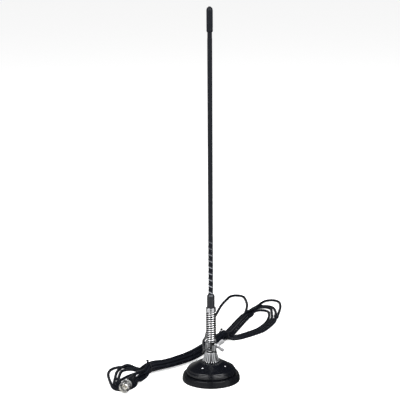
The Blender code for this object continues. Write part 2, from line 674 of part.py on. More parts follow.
def upper_knuckle():
    """The left-hand ear, the spring's seat flange and the boss inside the coil."""
    boss_r = COIL_OD / 2 - WIRE_D - BOSS_CLEAR
    seat = turned("upper_seat", [
        (0, Z_FLANGE_TOP + BOSS_H), (boss_r - 0.8, Z_FLANGE_TOP + BOSS_H),
        (boss_r, Z_FLANGE_TOP + BOSS_H - 0.8), (boss_r, Z_FLANGE_TOP),
        (FLANGE_R - 0.3, Z_FLANGE_TOP), (FLANGE_R, Z_FLANGE_TOP - 0.3), (FLANGE_R, Z_FLANGE + 0.3),
        (FLANGE_R - 0.3, Z_FLANGE), (0, Z_FLANGE)], None, 32, cutter=True)
    ear = ear_blank("upper_ear", -BAR_R, -EAR_SPLIT, Z_FLANGE + FLANGE_H / 2, None)
    boolean(ear, seat, "UNION")
    boolean(ear, pin_bore("upper_bore", -BAR_R + 1.3, 1.0), "DIFFERENCE")
    knuckle = as_mesh(ear, CHROME)
    knuckle.name = "upper_knuckle"
    smooth(knuckle.data, 25.0)
    return knuckle


def clamp_parts():
    """Friction washer, clamp screw and the wing lever on its end."""
    half = EAR_SPLIT - GAP
    washer = turned("friction_washer", [
        (WASHER_R, half), (WASHER_R, -half), (PIN_R + RUN, -half), (PIN_R + RUN, half)],
        None, 20, closed=True)
    washer = bring(as_mesh(washer, DARK_METAL), Matrix.Translation((0, 0, Z_TILT * MM)) @ TO_X)
    hub_low = BAR_R + GAP
    tip = -BAR_R + 1.3 + GAP
    end = hub_low + HUB_L - 1.5
    screw = turned("clamp_screw", [
        (0, end), (PIN_R - 0.3, end), (PIN_R, end - 0.3), (PIN_R, tip + 0.5), (PIN_R - 0.5, tip),
        (0, tip)], None, 20)
    screw = bring(as_mesh(screw, STEEL), Matrix.Translation((0, 0, Z_TILT * MM)) @ TO_X)
    half_wing = [(hub_low + HUB_L - 0.6, 0.0), (hub_low + 5.8, 2.6), (WING_OUT - 3.2, WING_HALF - 7.6),
                 (WING_OUT - 0.5, WING_HALF - 4.8), (WING_OUT, WING_HALF - 2.2),
                 (WING_OUT - 1.4, WING_HALF - 0.2), (WING_OUT - 4.0, WING_HALF),
                 (WING_OUT - 7.8, WING_HALF - 2.4), (hub_low + 1.8, HUB_R + 3.6),
                 (hub_low + 0.1, HUB_R + 0.6)]
    other = [(x, -z) for x, z in reversed(half_wing[1:])]
    blades = flat_outline("wing_lever", [half_wing + other], WING_T)
    bring(blades, Matrix.Translation((0, 0, Z_TILT * MM)) @ FACE_Y)
    hub = turned("wing_hub", [
        (0, hub_low + HUB_L), (HUB_R - 0.7, hub_low + HUB_L), (HUB_R, hub_low + HUB_L - 0.7),
        (HUB_R, hub_low), (PIN_R + RUN, hub_low), (PIN_R + RUN, end + GAP), (0, end + GAP)],
        None, 24, cutter=True)
    hub = bring(as_mesh(hub, None, True), Matrix.Translation((0, 0, Z_TILT * MM)) @ TO_X)
    bore = pin_bore("wing_bore", hub_low - 2.0, end + GAP)
    boolean(blades, hub, "UNION")
    boolean(blades, bore, "DIFFERENCE")
    wing = as_mesh(blades, CHROME)
    wing.name = "wing_lever"
    smooth(wing.data, 28.0)
    return washer, screw, wing


# Spring and whip
def coil_points(radius, z_low, pitch, turns, steps, start, hand=1.0):
    """Points of a helix; a right-hand one climbs anticlockwise."""
    count = int(math.ceil(turns * steps)) + 1
    points = []
    for i in range(count):
        turn = turns * i / (count - 1)
        angle = math.radians(start) + hand * math.tau * turn
        points.append((radius * math.cos(angle), radius * math.sin(angle), z_low + pitch * turn))
    return points


def coil_spring():
    """The close-wound shock spring."""
    radius = (COIL_OD - WIRE_D) / 2
    return tube("coil_spring", coil_points(radius, Z_COIL_START, COIL_PITCH, COIL_TURNS, 11, -126.0),
                WIRE_D / 2, CHROME, 2)


def spring_collar():
    """The plain collar on the spring, with its boss inside the coil and the set screw's hole."""
    boss_r = COIL_OD / 2 - WIRE_D - BOSS_CLEAR
    bore_low = Z_FERRULE - FERRULE_STUD_H - GAP
    collar = turned("spring_collar", [
        (0, bore_low), (STUD_R + RUN, bore_low), (STUD_R + RUN, Z_COLLAR + COLLAR_H),
        (COLLAR_R - 0.7, Z_COLLAR + COLLAR_H), (COLLAR_R, Z_COLLAR + COLLAR_H - 0.7),
        (COLLAR_R, Z_COLLAR + 0.4), (COLLAR_R - 0.4, Z_COLLAR), (boss_r, Z_COLLAR),
        (boss_r, Z_COLLAR - COLLAR_BOSS_H + 0.8), (boss_r - 0.8, Z_COLLAR - COLLAR_BOSS_H),
        (0, Z_COLLAR - COLLAR_BOSS_H)], CHROME, 30)
    z = Z_COLLAR + COLLAR_H * 0.55
    hole = cylinder("set_screw_hole", SCREW_R + GAP, COLLAR_R - SCREW_L - GAP, COLLAR_R + 2.0, 16)
    bring(hole, Matrix.Translation((0, 0, z * MM)) @ FACE_Y)
    boolean(collar, hole, "DIFFERENCE")
    screw = turned("set_screw", [
        (0, COLLAR_R - 0.5 - 1.2), (0.6, COLLAR_R - 0.5 - 1.2), (0.6, COLLAR_R - 0.5),
        (SCREW_R - 0.2, COLLAR_R - 0.5), (SCREW_R, COLLAR_R - 0.7),
        (SCREW_R, COLLAR_R - SCREW_L + 0.4), (SCREW_R - 0.5, COLLAR_R - SCREW_L),
        (0, COLLAR_R - SCREW_L)], None, 12)
    screw = bring(as_mesh(screw, DARK_METAL), Matrix.Translation((0, 0, z * MM)) @ FACE_Y)
    smooth(screw.data)
    return collar, screw


def ferrule():
    """The dark ferrule: stud below, bevelled shoulder and the whip core's socket above."""
    bore = CORE_R + RUN
    top = Z_FERRULE_TOP
    piece = turned("ferrule", [
        (0, top - CORE_SEAT - GAP), (bore, top - CORE_SEAT - GAP), (bore, top),
        (SLEEVE_R + 0.6, top), (FERRULE_R - 0.5, top - 2.4), (FERRULE_R, top - 3.2),
        (FERRULE_R, Z_FERRULE + 0.5), (FERRULE_R - 0.5, Z_FERRULE), (STUD_R, Z_FERRULE),
        (STUD_R, Z_FERRULE - FERRULE_STUD_H + 0.5), (STUD_R - 0.5, Z_FERRULE - FERRULE_STUD_H),
        (0, Z_FERRULE - FERRULE_STUD_H)], DARK_METAL, 28)
    return piece


def whip_core():
    """The glass-fibre rod from the ferrule's socket to the tip cap."""
    low = Z_FERRULE_TOP - CORE_SEAT
    high = Z_CAP + CAP_SEAT + 5.0
    return turned("whip_core", [
        (0, high), (CORE_R - 0.3, high), (CORE_R, high - 0.3), (CORE_R, low), (0, low)],
        GLASSFIBRE, 12)


def wound_sleeve():
    """The sleeve's lower stretch, which the winding under it lifts into a left-hand ridge."""
    half = RIDGE_W / SLEEVE_R / 2
    outline = []
    for share, lift in ((-1.0, 0.0), (-0.5, 0.75), (0.0, 1.0), (0.5, 0.75)):
        outline.append((share * half, SLEEVE_R + RIDGE_H * lift))
    plain = 8
    for i in range(plain):
        outline.append((half + (math.tau - 2 * half) * i / plain, SLEEVE_R))
    mesh = bpy.data.meshes.new("wound_blank")
    verts = [(r * MM * math.cos(a), r * MM * math.sin(a), Z_SLEEVE * MM) for a, r in outline]
    count = len(verts)
    mesh.from_pydata(verts, [((i + 1) % count, i) for i in range(count)], [])
    blank = bpy.data.objects.new("wound_blank", mesh)
    link(blank)
    turns = WINDING_L / WINDING_PITCH
    sweep = blank.modifiers.new("twist", "SCREW")
    sweep.axis = "Z"
    sweep.angle = -math.tau * turns
    sweep.screw_offset = WINDING_L * MM
    sweep.steps = int(round(turns * 11))
    sweep.render_steps = sweep.steps
    sweep.use_merge_vertices = False
    bpy.context.view_layer.update()
    graph = bpy.context.evaluated_depsgraph_get()
    solid = bpy.data.meshes.new_from_object(blank.evaluated_get(graph))
    bpy.data.objects.remove(blank, do_unlink=True)
    work = bmesh.new()
    work.from_mesh(solid)
    bmesh.ops.holes_fill(work, edges=[edge for edge in work.edges if edge.is_boundary], sides=0)
    bmesh.ops.recalc_face_normals(work, faces=work.faces)
    work.to_mesh(solid)
    work.free()
    sleeve = link(bpy.data.objects.new("wound_sleeve", solid), SLEEVE)
    bore = cylinder("sleeve_bore", SLEEVE_R - SLEEVE_WALL, Z_SLEEVE - 1.0, Z_WOUND_TOP + 1.0, 12)
    sleeve = as_mesh(boolean(sleeve, bore, "DIFFERENCE"), SLEEVE)
    smooth(sleeve.data, 40.0)
    return sleeve


def winding():
    """The loading wire on the core, under the sleeve's ridge."""
    radius = CORE_R + GAP + WINDING_D / 2
    run = WINDING_L - 4.0
    return tube("loading_winding", coil_points(radius, Z_SLEEVE + 2.0, WINDING_PITCH,
                                               run / WINDING_PITCH, 8, 0.0, -1.0),
                WINDING_D / 2, COPPER, 1)


def smooth_sleeve():
    """The smooth sleeve above the winding."""
    inner = SLEEVE_R - SLEEVE_WALL
    return turned("smooth_sleeve", [
        (SLEEVE_R, Z_SLEEVE_TOP), (SLEEVE_R, Z_SMOOTH), (inner, Z_SMOOTH), (inner, Z_SLEEVE_TOP)],
        SLEEVE, 20, closed=True)


def tip():
    """The thin neck on the rod and the cap on the neck."""
    bore = CORE_R + RUN
    neck_top = Z_CAP + CAP_SEAT
    neck = turned("tip_neck", [
        (TIP_NECK_R, neck_top), (TIP_NECK_R, Z_NECK), (bore, Z_NECK), (bore, neck_top)],
        SLEEVE, 20, closed=True)
    rod_top = neck_top + 5.0
    cap = turned("tip_cap", [
        (0, Z_TOP), (CAP_R * 0.28, Z_TOP - 0.15), (CAP_R * 0.36, Z_TOP - 0.9),
        (CAP_R * 0.62, Z_TOP - 1.4), (CAP_R * 0.86, Z_TOP - 2.6), (CAP_R, Z_TOP - 5.2),
        (CAP_R, Z_CAP + 1.2), (CAP_R - 0.4, Z_CAP + 0.4), (CAP_R - 0.9, Z_CAP),
        (TIP_NECK_R + GAP, Z_CAP), (TIP_NECK_R + GAP, neck_top + GAP), (bore, neck_top + GAP),
        (bore, rod_top + GAP), (0, rod_top + GAP)], SLEEVE, 20)
    return neck, cap


# Lead
def strain_relief():
    """The tapered relief that leads the cable out behind the bell, on its left."""
    route = smooth_route(RELIEF_ROUTE, 2.6)
    last = len(route) - 1
    end = CABLE_R / RELIEF_R
    radii = [1.0 if i < last * 0.2 else 1.0 + (end + 0.1 - 1.0) * (i / last - 0.2) / 0.8
             for i in range(last + 1)]
    return tube("strain_relief", route, RELIEF_R, RUBBER, 3, radii)


def cable(name, route):
    """A plain round stretch of the lead."""
    return tube(name, smooth_route(route, 13.5), CABLE_R, VINYL, 2)


def hank():
    """The outer shape of the wound hank: a round bundle between two flat fans of loops."""
    route = smooth_route(SPINE, 9.0)
    run = [0.0]
    for a, b in zip(route, route[1:]):
        run.append(run[-1] + math.dist(a, b))
    radii = []
    for at in run:
        near = min(at, run[-1] - at)
        bulge = HANK_BULGE * math.sin(math.pi * at / run[-1]) ** 2
        radii.append(1.0 + bulge - HANK_TAPER * max(0.0, 1.0 - near / HANK_TAPER_L))
    core = as_mesh(tube("cable_hank", route, HANK_R, VINYL, 4, radii))
    lift = HANK_PLATE_H / 2 + FLOOR_LIFT
    for number, outlines in enumerate(([LEFT_OUTLINE, *LEFT_EYES], [RIGHT_OUTLINE, RIGHT_EYE])):
        plate = flat_outline(f"hank_plate_{number}", outlines, HANK_PLATE_H, None, True)
        bring(plate, Matrix.Translation((0, 0, lift * MM)))
        boolean(core, plate, "UNION")
    solid = as_mesh(core, VINYL)
    smooth(solid.data, 35.0)
    return solid


def tie(number, index):
    """A wire tie: one turn round the bundle and two short tails on top."""
    here = Vector(SPINE[index])
    ahead = Vector(SPINE[index + 1]) - Vector(SPINE[index - 1])
    ahead.z = 0.0
    ahead.normalize()
    side = Vector((-ahead.y, ahead.x, 0.0))
    radius = HANK_R + GAP + TIE_WIRE_R
    points = []
    tail = 7.0
    lean = math.radians(68.0)
    for share in (1.0, 0.55):
        points.append((radius + tail * share, lean - 0.10 * share, -TIE_STEP / 2 - 0.5 * share))
    for i in range(21):
        points.append((radius, lean + math.tau * i / 20, -TIE_STEP / 2 + TIE_STEP * i / 20))
    for share in (0.55, 1.0):
        points.append((radius + tail * share, lean + 0.10 * share, TIE_STEP / 2 + 0.5 * share))
    route = []
    for r, angle, shift in points:
        place = here + side * (r * math.cos(angle)) + Vector((0, 0, r * math.sin(angle)))
        route.append(tuple(place + ahead * shift))
    return tube(f"twist_tie_{number}", route, TIE_WIRE_R, VINYL, 1)


def plug(axis):
    """Coupling ring, inner shell, insulator, pin and boot, turned about the plug's axis."""
    flange_low = RING_L - RING_LIP_L - GAP - SHELL_FLANGE_L
    lip = SHELL_R + RUN
    ring = turned("coupling_ring", [
        (RING_BORE_R, 0.6), (RING_BORE_R, RING_L - RING_LIP_L), (lip, RING_L - RING_LIP_L),
        (lip, RING_L), (RING_R - 1.0, RING_L), (RING_R - 0.4, RING_L - 0.6),
        (RING_R - 0.4, RING_L - 2.2), (RING_R, RING_L - 2.8), (RING_R, 1.6), (RING_R - 0.6, 0.6),
        (RING_R - 1.0, 0.0), (RING_BORE_R + 0.3, 0.0)], NICKEL, 32, closed=True)
    tail_end = RING_L + GAP + SHELL_TAIL
    inner = SHELL_R - SHELL_WALL
    shell_front_r = SHELL_R - 0.4
    seat = flange_low + 1.0
    shell = turned("plug_shell", [
        (0, tail_end), (SHELL_R - 0.4, tail_end), (SHELL_R, tail_end - 0.4),
        (SHELL_R, flange_low + SHELL_FLANGE_L), (SHELL_FLANGE_R, flange_low + SHELL_FLANGE_L),
        (SHELL_FLANGE_R, flange_low), (shell_front_r, flange_low), (shell_front_r, SHELL_FRONT),
        (inner, SHELL_FRONT), (inner, seat), (0, seat)], NICKEL, 24)
    block_r, block_low, block_high = inner - GAP, SHELL_FRONT + 0.8, seat - GAP
    insulator = turned("plug_insulator", [
        (block_r, block_high), (block_r, block_low), (CONTACT_R + GAP, block_low),
        (CONTACT_R + GAP, block_high)], INSULATOR, 16, closed=True)
    pin = turned("centre_pin", [
        (0, block_high), (CONTACT_R, block_high), (CONTACT_R, PIN_FRONT + 1.0),
        (CONTACT_R * 0.55, PIN_FRONT + 0.1), (0, PIN_FRONT)], NICKEL, 12)
    boot_low = RING_L + GAP
    boot_end = boot_low + BOOT_CONE_L
    pocket = SHELL_R + GAP
    boot = turned("plug_boot", [
        (0, boot_end), (BOOT_CONE_END_R - 0.5, boot_end), (BOOT_CONE_END_R, boot_end - 0.6),
        (BOOT_CONE_END_R + 0.3, boot_end - 6.0), (BOOT_CONE_R - 1.0, boot_low + BOOT_GRIP_L),
        (BOOT_CONE_R - 0.2, boot_low + 6.0), (BOOT_CONE_R, boot_low + 4.0),
        (BOOT_CONE_R, boot_low + 0.5), (BOOT_CONE_R - 0.4, boot_low), (pocket, boot_low),
        (pocket, tail_end + GAP), (0, tail_end + GAP)], RUBBER, 24)
    for piece in (ring, shell, insulator, pin, boot):
        piece.matrix_world = axis
    return ring, shell, insulator, pin, boot


def build():
    """Make every piece and hang the moving ones on their axes."""
    holes = rivet_holes("rivet_holes")
    rubber_boot()
    base_cover(holes)
    rivet_plate(holes)
    rivets()
    magnet_and_pole()
    stud_stack()
    bell_collar()
    lower_knuckle()
    upper = upper_knuckle()
    _, screw, wing = clamp_parts()
    spring = coil_spring()
    collar, set_screw = spring_collar()
    rod = [ferrule(), whip_core(), wound_sleeve(), winding(), smooth_sleeve(), *tip()]
    strain_relief()
    cable("cable_lead", LEAD_ROUTE)
    cable("cable_tail", TAIL_ROUTE)
    hank()
    for number, index in enumerate(TIE_AT, 1):
        tie(number, index)
    yaw, pitch = math.radians(PLUG_YAW), math.radians(PLUG_PITCH)
    way = (math.cos(pitch) * math.cos(yaw), math.cos(pitch) * math.sin(yaw), math.sin(pitch))
    place = along(way, PLUG_NOSE)
    ring = plug(place)[0]
    hold(axis_empty("tilt_axis", (0, 0, Z_TILT)), upper, spring)
    hold(axis_empty("wing_axis", (BAR_R, 0, Z_TILT)), screw, wing)
    hold(axis_empty("flex_axis", (0, 0, Z_FLEX)), collar, set_screw, *rod)
    hold(axis_empty("plug_axis", PLUG_NOSE, place.to_euler()), ring)


build()
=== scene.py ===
"""Looks of the magnetic mount antenna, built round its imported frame.

Each sub-assembly is a class with its sizes, a build method that makes its pieces and a dress
method that gives them their finishes. Sizes are metres and come from the frame's own boxes
where a node carries them. Turned, swept and wound surfaces are worked out over whole grids.
"""

import logging
import math
from dataclasses import dataclass, field
from enum import Enum

import bmesh
import bpy
import numpy as np
from mathutils import Matrix, Vector


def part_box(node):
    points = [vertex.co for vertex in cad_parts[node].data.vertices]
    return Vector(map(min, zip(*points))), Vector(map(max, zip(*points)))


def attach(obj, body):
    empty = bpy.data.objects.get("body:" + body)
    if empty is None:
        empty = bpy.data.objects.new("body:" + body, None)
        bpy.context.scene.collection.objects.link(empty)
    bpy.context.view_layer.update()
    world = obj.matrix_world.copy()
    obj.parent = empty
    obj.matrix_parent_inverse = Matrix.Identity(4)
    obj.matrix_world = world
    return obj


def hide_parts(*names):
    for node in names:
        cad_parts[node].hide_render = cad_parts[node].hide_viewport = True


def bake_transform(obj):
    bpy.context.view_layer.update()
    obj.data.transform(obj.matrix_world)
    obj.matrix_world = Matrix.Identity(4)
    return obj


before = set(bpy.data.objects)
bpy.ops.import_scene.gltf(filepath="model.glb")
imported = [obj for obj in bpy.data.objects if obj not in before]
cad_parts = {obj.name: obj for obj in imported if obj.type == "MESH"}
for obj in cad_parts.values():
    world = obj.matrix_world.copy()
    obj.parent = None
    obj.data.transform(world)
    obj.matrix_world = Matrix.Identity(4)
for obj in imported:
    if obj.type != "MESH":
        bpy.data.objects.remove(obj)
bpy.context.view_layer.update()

LOG = logging.getLogger("antenna")
MM = 0.001
TAU = math.tau
UP = np.array([0.0, 0.0, 1.0])
TINY = 1e-12
SAME_ROW = 1e-7
WELD_REACH = 2e-7
NO_LENGTH = 1e-8
PLAIN_SHARP = 38.0
CUT_SHARP = 30.0
ROD_COLUMNS = 64


class Body(Enum):
    """Moving bodies that pieces ride on."""

    BASE = "base"
    TILT_HEAD = "tilt_head"
    WHIP = "whip"
    WING = "wing"
    PLUG_RING = "plug_ring"


class Lay(Enum):
    """How a surface was made, which decides its fine lines."""

    MOULDED = "moulded"
    TURNED = "turned"
    DRAWN = "drawn"


# Grids and meshes
def rounded(profile: list[tuple], steps: int = 5) -> np.ndarray:
    """Fillet the corners of an open profile.

    A corner P with fillet f runs from A to B, f away along each side, on the curve
    (1-t)^2 A + 2t(1-t) P + t^2 B, with one support row beyond each end.

    Args:
        profile: corners as (radius, height) or (radius, height, fillet), in metres.
        steps: rows in each fillet.
    Returns:
        Rows of (radius, height).
    """
    widest, support = 0.38, 0.25
    corners = np.array([row[:2] for row in profile], float)
    fillet = np.array([row[2] if len(row) > 2 else 0.0 for row in profile])
    before = np.roll(corners, 1, axis=0) - corners
    after = np.roll(corners, -1, axis=0) - corners
    before_len = np.linalg.norm(before, axis=1)
    after_len = np.linalg.norm(after, axis=1)
    fillet = np.minimum(fillet, widest * np.minimum(before_len, after_len))[:, None]
    fillet[[0, -1]] = 0.0
    before /= np.maximum(before_len, TINY)[:, None]
    after /= np.maximum(after_len, TINY)[:, None]
    start = corners + before * fillet
    end = corners + after * fillet
    t = np.linspace(0.0, 1.0, steps)[None, :, None]
    curve = ((1 - t) ** 2 * start[:, None] + 2 * t * (1 - t) * corners[:, None]
             + t ** 2 * end[:, None])
    lead_in = (start + before * fillet * support)[:, None]
    lead_out = (end + after * fillet * support)[:, None]
    rows = np.concatenate([lead_in, curve, lead_out], axis=1).reshape(-1, 2)
    keep = np.r_[True, np.linalg.norm(np.diff(rows, axis=0), axis=1) > SAME_ROW]
    return rows[keep]


def circle(columns: int) -> np.ndarray:
    """Angles of a ring's columns over a full turn."""
    return TAU * np.arange(columns) / columns


def revolved(profile: np.ndarray, columns: int) -> np.ndarray:
    """Turn rows of (r, z) about Z: x = r cos a, y = r sin a, with a over a full turn."""
    angle = circle(columns)
    r, z = profile[:, :1], profile[:, 1:]
    height = np.broadcast_to(z, (len(profile), columns))
    return np.stack([r * np.cos(angle), r * np.sin(angle), height], axis=-1)


def unit(vectors: np.ndarray) -> np.ndarray:
    """Scale vectors to length one."""
    return vectors / np.maximum(np.linalg.norm(vectors, axis=-1, keepdims=True), TINY)


def lengths_along(points: np.ndarray) -> np.ndarray:
    """Distance of each point of a path from its start, along the path."""
    return np.r_[0.0, np.cumsum(np.linalg.norm(np.diff(points, axis=0), axis=1))]


def swept(path: np.ndarray, radius: float | np.ndarray, up: np.ndarray, sides: int) -> np.ndarray:
    """Sweep a circle along a path.

    With tangent t, s = up x t and l = t x s, each row holds p + r (s cos a + l sin a).

    Args:
        path: points, one per row.
        radius: one radius or one per point.
        up: a vector, or one per point, never along the path.
        sides: points round the circle.
    Returns:
        A grid of points.
    """
    tangent = unit(np.gradient(path, axis=0))
    side = unit(np.cross(np.broadcast_to(up, path.shape), tangent))
    lift = np.cross(tangent, side)
    angle = circle(sides)[:, None]
    size = np.broadcast_to(radius, path.shape[:1])[:, None, None]
    ring = side[:, None] * np.cos(angle) + lift[:, None] * np.sin(angle)
    return path[:, None] + size * ring


def blunt(path: np.ndarray, radius: float, edge: float) -> tuple[np.ndarray, np.ndarray]:
    """Add rows that close a tube's two ends with a small round edge.

    Args:
        path: points of the tube.
        radius: its radius.
        edge: radius of the round edge.
    Returns:
        The longer path and a radius for each of its points.
    """
    clear = 1.2 * edge
    turn = np.linspace(0.0, math.pi / 2, 4)
    inset = radius - edge + edge * np.sin(turn)
    back = (edge * (1.0 - np.cos(math.pi / 2 - turn)))[:, None]
    head = path[0] + unit(path[1] - path[0]) * back
    tail = path[-1] - unit(path[-1] - path[-2]) * back
    body = path[1:-1]
    body = body[(np.linalg.norm(body - path[0], axis=1) > clear)
                & (np.linalg.norm(body - path[-1], axis=1) > clear)]
    points = np.vstack([path[:1], head, body, tail[::-1], path[-1:]])
    sizes = np.r_[0.0, inset, np.full(len(body), radius), inset[::-1], 0.0]
    return points, sizes


def wrapped_quads(rows: int, columns: int, ring: bool = False) -> np.ndarray:
    """Corners of the faces of a grid whose columns, and with ring its rows, join round."""
    r = np.arange(rows if ring else rows - 1)[:, None]
    c = np.arange(columns)[None, :]
    r_next, c_next = (r + 1) % rows, (c + 1) % columns
    return np.stack([r * columns + c, r * columns + c_next, r_next * columns + c_next,
                     r_next * columns + c], axis=-1).reshape(-1, 4)


def placed(points: np.ndarray, place: Matrix | None) -> np.ndarray:
    """Points of a grid in rows of (x, y, z), moved by a placement."""
    verts = points.reshape(-1, 3)
    if place is None:
        return verts
    turn = np.array(place)
    return verts @ turn[:3, :3].T + turn[:3, 3]


def in_scene(name: str, data: bpy.types.ID) -> bpy.types.Object:
    """Put a mesh, a light or a camera into the scene."""
    item = bpy.data.objects.new(name, data)
    bpy.context.scene.collection.objects.link(item)
    return item


@dataclass
class Shape:
    """Gathers grids of points and outlines, and turns them into one piece.

    Its body is the one that it rides on, or None for a piece that is attached to no body.
    """

    name: str
    body: Body | None
    verts: list[np.ndarray] = field(default_factory=list)
    faces: list[np.ndarray] = field(default_factory=list)
    lay: list[np.ndarray] = field(default_factory=list)
    caps: list[np.ndarray] = field(default_factory=list)
    recess: list[np.ndarray] = field(default_factory=list)
    count: int = 0

    def grid(self, points: np.ndarray, ring: bool = False, place: Matrix | None = None,
             recess: np.ndarray | None = None) -> "Shape":
        """Add a grid whose columns join round, and whose rows join too where ring is true.

        Corners carry (share of the turn, metres along the rows) in the map named lay, and points
        carry a mask from 0 to 1 for painted light in the attribute named recess: painted shade in
        grooves and between parts, or a painted highlight on crests.
        """
        rows, columns = points.shape[:2]
        run = lengths_along(np.vstack([points[:, 0], points[:1, 0]]) if ring else points[:, 0])
        r, c = np.meshgrid(np.arange(len(run) - 1), np.arange(columns), indexing="ij")
        lay = np.stack([np.stack([(c + right) / columns, run[r + up]], axis=-1)
                        for up, right in ((0, 0), (0, 1), (1, 1), (1, 0))], axis=2)
        self.verts.append(placed(points, place))
        self.recess.append(np.zeros(rows * columns) if recess is None else recess.ravel())
        self.faces.append(wrapped_quads(rows, columns, ring) + self.count)
        self.lay.append(lay.reshape(-1, 2))
        self.count += rows * columns
        return self

    def cap(self, row: np.ndarray) -> "Shape":
        """Close an outline with one flat face whose points run anticlockwise seen from outside."""
        self.verts.append(row)
        self.recess.append(np.zeros(len(row)))
        self.caps.append(np.arange(len(row)) + self.count)
        self.count += len(row)
        return self

    def mesh(self) -> bpy.types.Mesh:
        """Make the mesh with its map and its attribute."""
        quads, lay = np.concatenate(self.faces), np.concatenate(self.lay)
        loops = np.concatenate([quads.ravel(), *self.caps])
        sizes = np.r_[np.full(len(quads), 4), [len(cap) for cap in self.caps]].astype(int)
        mesh = bpy.data.meshes.new(self.name)
        mesh.vertices.add(self.count)
        mesh.vertices.foreach_set("co", np.concatenate(self.verts).astype(np.float32).ravel())
        mesh.loops.add(len(loops))
        mesh.loops.foreach_set("vertex_index", loops.astype(np.int32))
        mesh.polygons.add(len(sizes))
        mesh.polygons.foreach_set("loop_start", np.r_[0, np.cumsum(sizes)[:-1]].astype(np.int32))
        flat = np.zeros((len(loops), 2), np.float32)
        flat[:len(lay)] = lay
        mesh.uv_layers.new(name="lay").data.foreach_set("uv", flat.ravel())
        depth = mesh.attributes.new("recess", "FLOAT", "POINT")
        depth.data.foreach_set("value", np.concatenate(self.recess).astype(np.float32))
        mesh.update(calc_edges=True)
        mesh.validate()
        weld(mesh)
        return mesh

    def build(self, replaces: tuple[str, ...], slot: str,
              sharp: float = PLAIN_SHARP) -> bpy.types.Object:
        """Make the object, hang it on its body's empty and hide the CAD nodes that it stands for.

        Args:
            replaces: CAD nodes that the piece stands for.
            slot: the record's material slot; not used.
            sharp: edges over this angle in degrees stay sharp.
        Returns:
            The piece.
        """
        mesh = self.mesh()
        mesh.shade_smooth()
        mesh.set_sharp_from_angle(angle=math.radians(sharp))
        piece = in_scene(self.name, mesh)
        if self.body is not None:
            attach(piece, self.body.value)
        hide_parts(*replaces)
        return piece


def turned(name: str, body: Body, node: str, slot: str, profile: np.ndarray, columns: int,
           ring: bool = False, place: Matrix | None = None) -> bpy.types.Object:
    """Turn a profile into a piece that stands for one CAD node.

    Args:
        name: the piece's name.
        body: the body that it rides on.
        node: the CAD node.
        slot: the record's material slot.
        profile: rows of (radius, height).
        columns: points round the axis.
        ring: whether the profile is closed.
        place: where its axis lies, if not on the whip's.
    Returns:
        The piece.
    """
    return Shape(name, body).grid(revolved(profile, columns), ring, place).build((node,), slot)


def weld(mesh: bpy.types.Mesh) -> None:
    """Join points that lie on each other, such as those of a pole."""
    work = bmesh.new()
    work.from_mesh(mesh)
    bmesh.ops.remove_doubles(work, verts=work.verts, dist=WELD_REACH)
    bmesh.ops.dissolve_degenerate(work, edges=work.edges, dist=NO_LENGTH)
    work.to_mesh(mesh)
    work.free()


def cut(piece: bpy.types.Object, cutter: bpy.types.Object) -> bpy.types.Object:
    """Cut a closed shape out of a piece and keep its fine edges."""
    work = piece.modifiers.new("cut", "BOOLEAN")
    work.object = cutter
    work.solver = "EXACT"
    bpy.context.view_layer.update()
    graph = bpy.context.evaluated_depsgraph_get()
    mesh = bpy.data.meshes.new_from_object(piece.evaluated_get(graph))
    old = piece.data
    piece.modifiers.clear()
    piece.data = mesh
    bpy.data.meshes.remove(old)
    mesh.shade_smooth()
    mesh.set_sharp_from_angle(angle=math.radians(CUT_SHARP))
    bpy.data.objects.remove(cutter, do_unlink=True)
    return piece


def rod_cutter(place: Matrix, radius: float, length: float) -> bpy.types.Object:
    """A closed round rod from the place's origin along its Z axis, to cut with."""
    profile = np.array([(0.0, 0.0), (radius, 0.0), (radius, length), (0.0, length)])
    verts = placed(revolved(profile, ROD_COLUMNS), place)
    mesh = bpy.data.meshes.new("rod_cutter")
    mesh.from_pydata(verts.tolist(), [], wrapped_quads(len(profile), ROD_COLUMNS).tolist())
    mesh.validate()
    weld(mesh)
    return in_scene("rod_cutter", mesh)


def low_z(name: str) -> float:
    """Lowest height of a CAD node at rest."""
    return Vector(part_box(name)[0]).z


def high_z(name: str) -> float:
    """Highest height of a CAD node at rest."""
    return Vector(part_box(name)[1]).z


def along(direction: Vector, at: Vector) -> Matrix:
    """A placement whose Z axis points along a direction."""
    turn = direction.normalized().to_track_quat("Z", "Y").to_matrix().to_4x4()
    return Matrix.Translation(at) @ turn


# Finishes
@dataclass(frozen=True)
class Finish:
    """One finish, with the grain and the variation that the real surface shows, and its painted
    light: painted shade in grooves and between parts, or a painted highlight on crests.
    """

    name: str
    colour: tuple[float, float, float]
    roughness: float
    metallic: float = 0.0
    specular: float = 0.5
    lay: Lay = Lay.MOULDED
    grain: float = 1400.0
    bump: float = 0.02
    mottle: float = 0.12
    spread: float = 0.08
    dust: float = 0.0
    # painted light: how strongly the recess mask paints shade into grooves, or a highlight onto
    # crests, and in which colour
    painted_light: float = 0.0
    painted_light_colour: tuple[float, float, float] = (0.016, 0.017, 0.021)
    crest_coat: bool = False


RUBBER = Finish("soft_rubber", (0.004, 0.0045, 0.006), 0.26, specular=0.26, grain=1800.0,
                bump=0.10, mottle=0.22, spread=0.12, dust=0.12)
PAINT = Finish("satin_paint", (0.0035, 0.004, 0.006), 0.20, specular=0.60, grain=1100.0,
               bump=0.05, mottle=0.10, dust=0.06)
FERRITE = Finish("dull_ferrite", (0.05, 0.048, 0.047), 0.72, grain=2600.0, bump=0.2, mottle=0.25)
ZINC = Finish("zinc_plate", (0.55, 0.55, 0.53), 0.3, 1.0, lay=Lay.TURNED, bump=0.05)
# Its painted light is painted shade in the bell's flutes and in the joint's corners and slit.
CHROME = Finish("bright_plate", (0.80, 0.81, 0.83), 0.085, 1.0, lay=Lay.TURNED, grain=500.0,
                mottle=0.05, spread=0.05, painted_light=1.2)
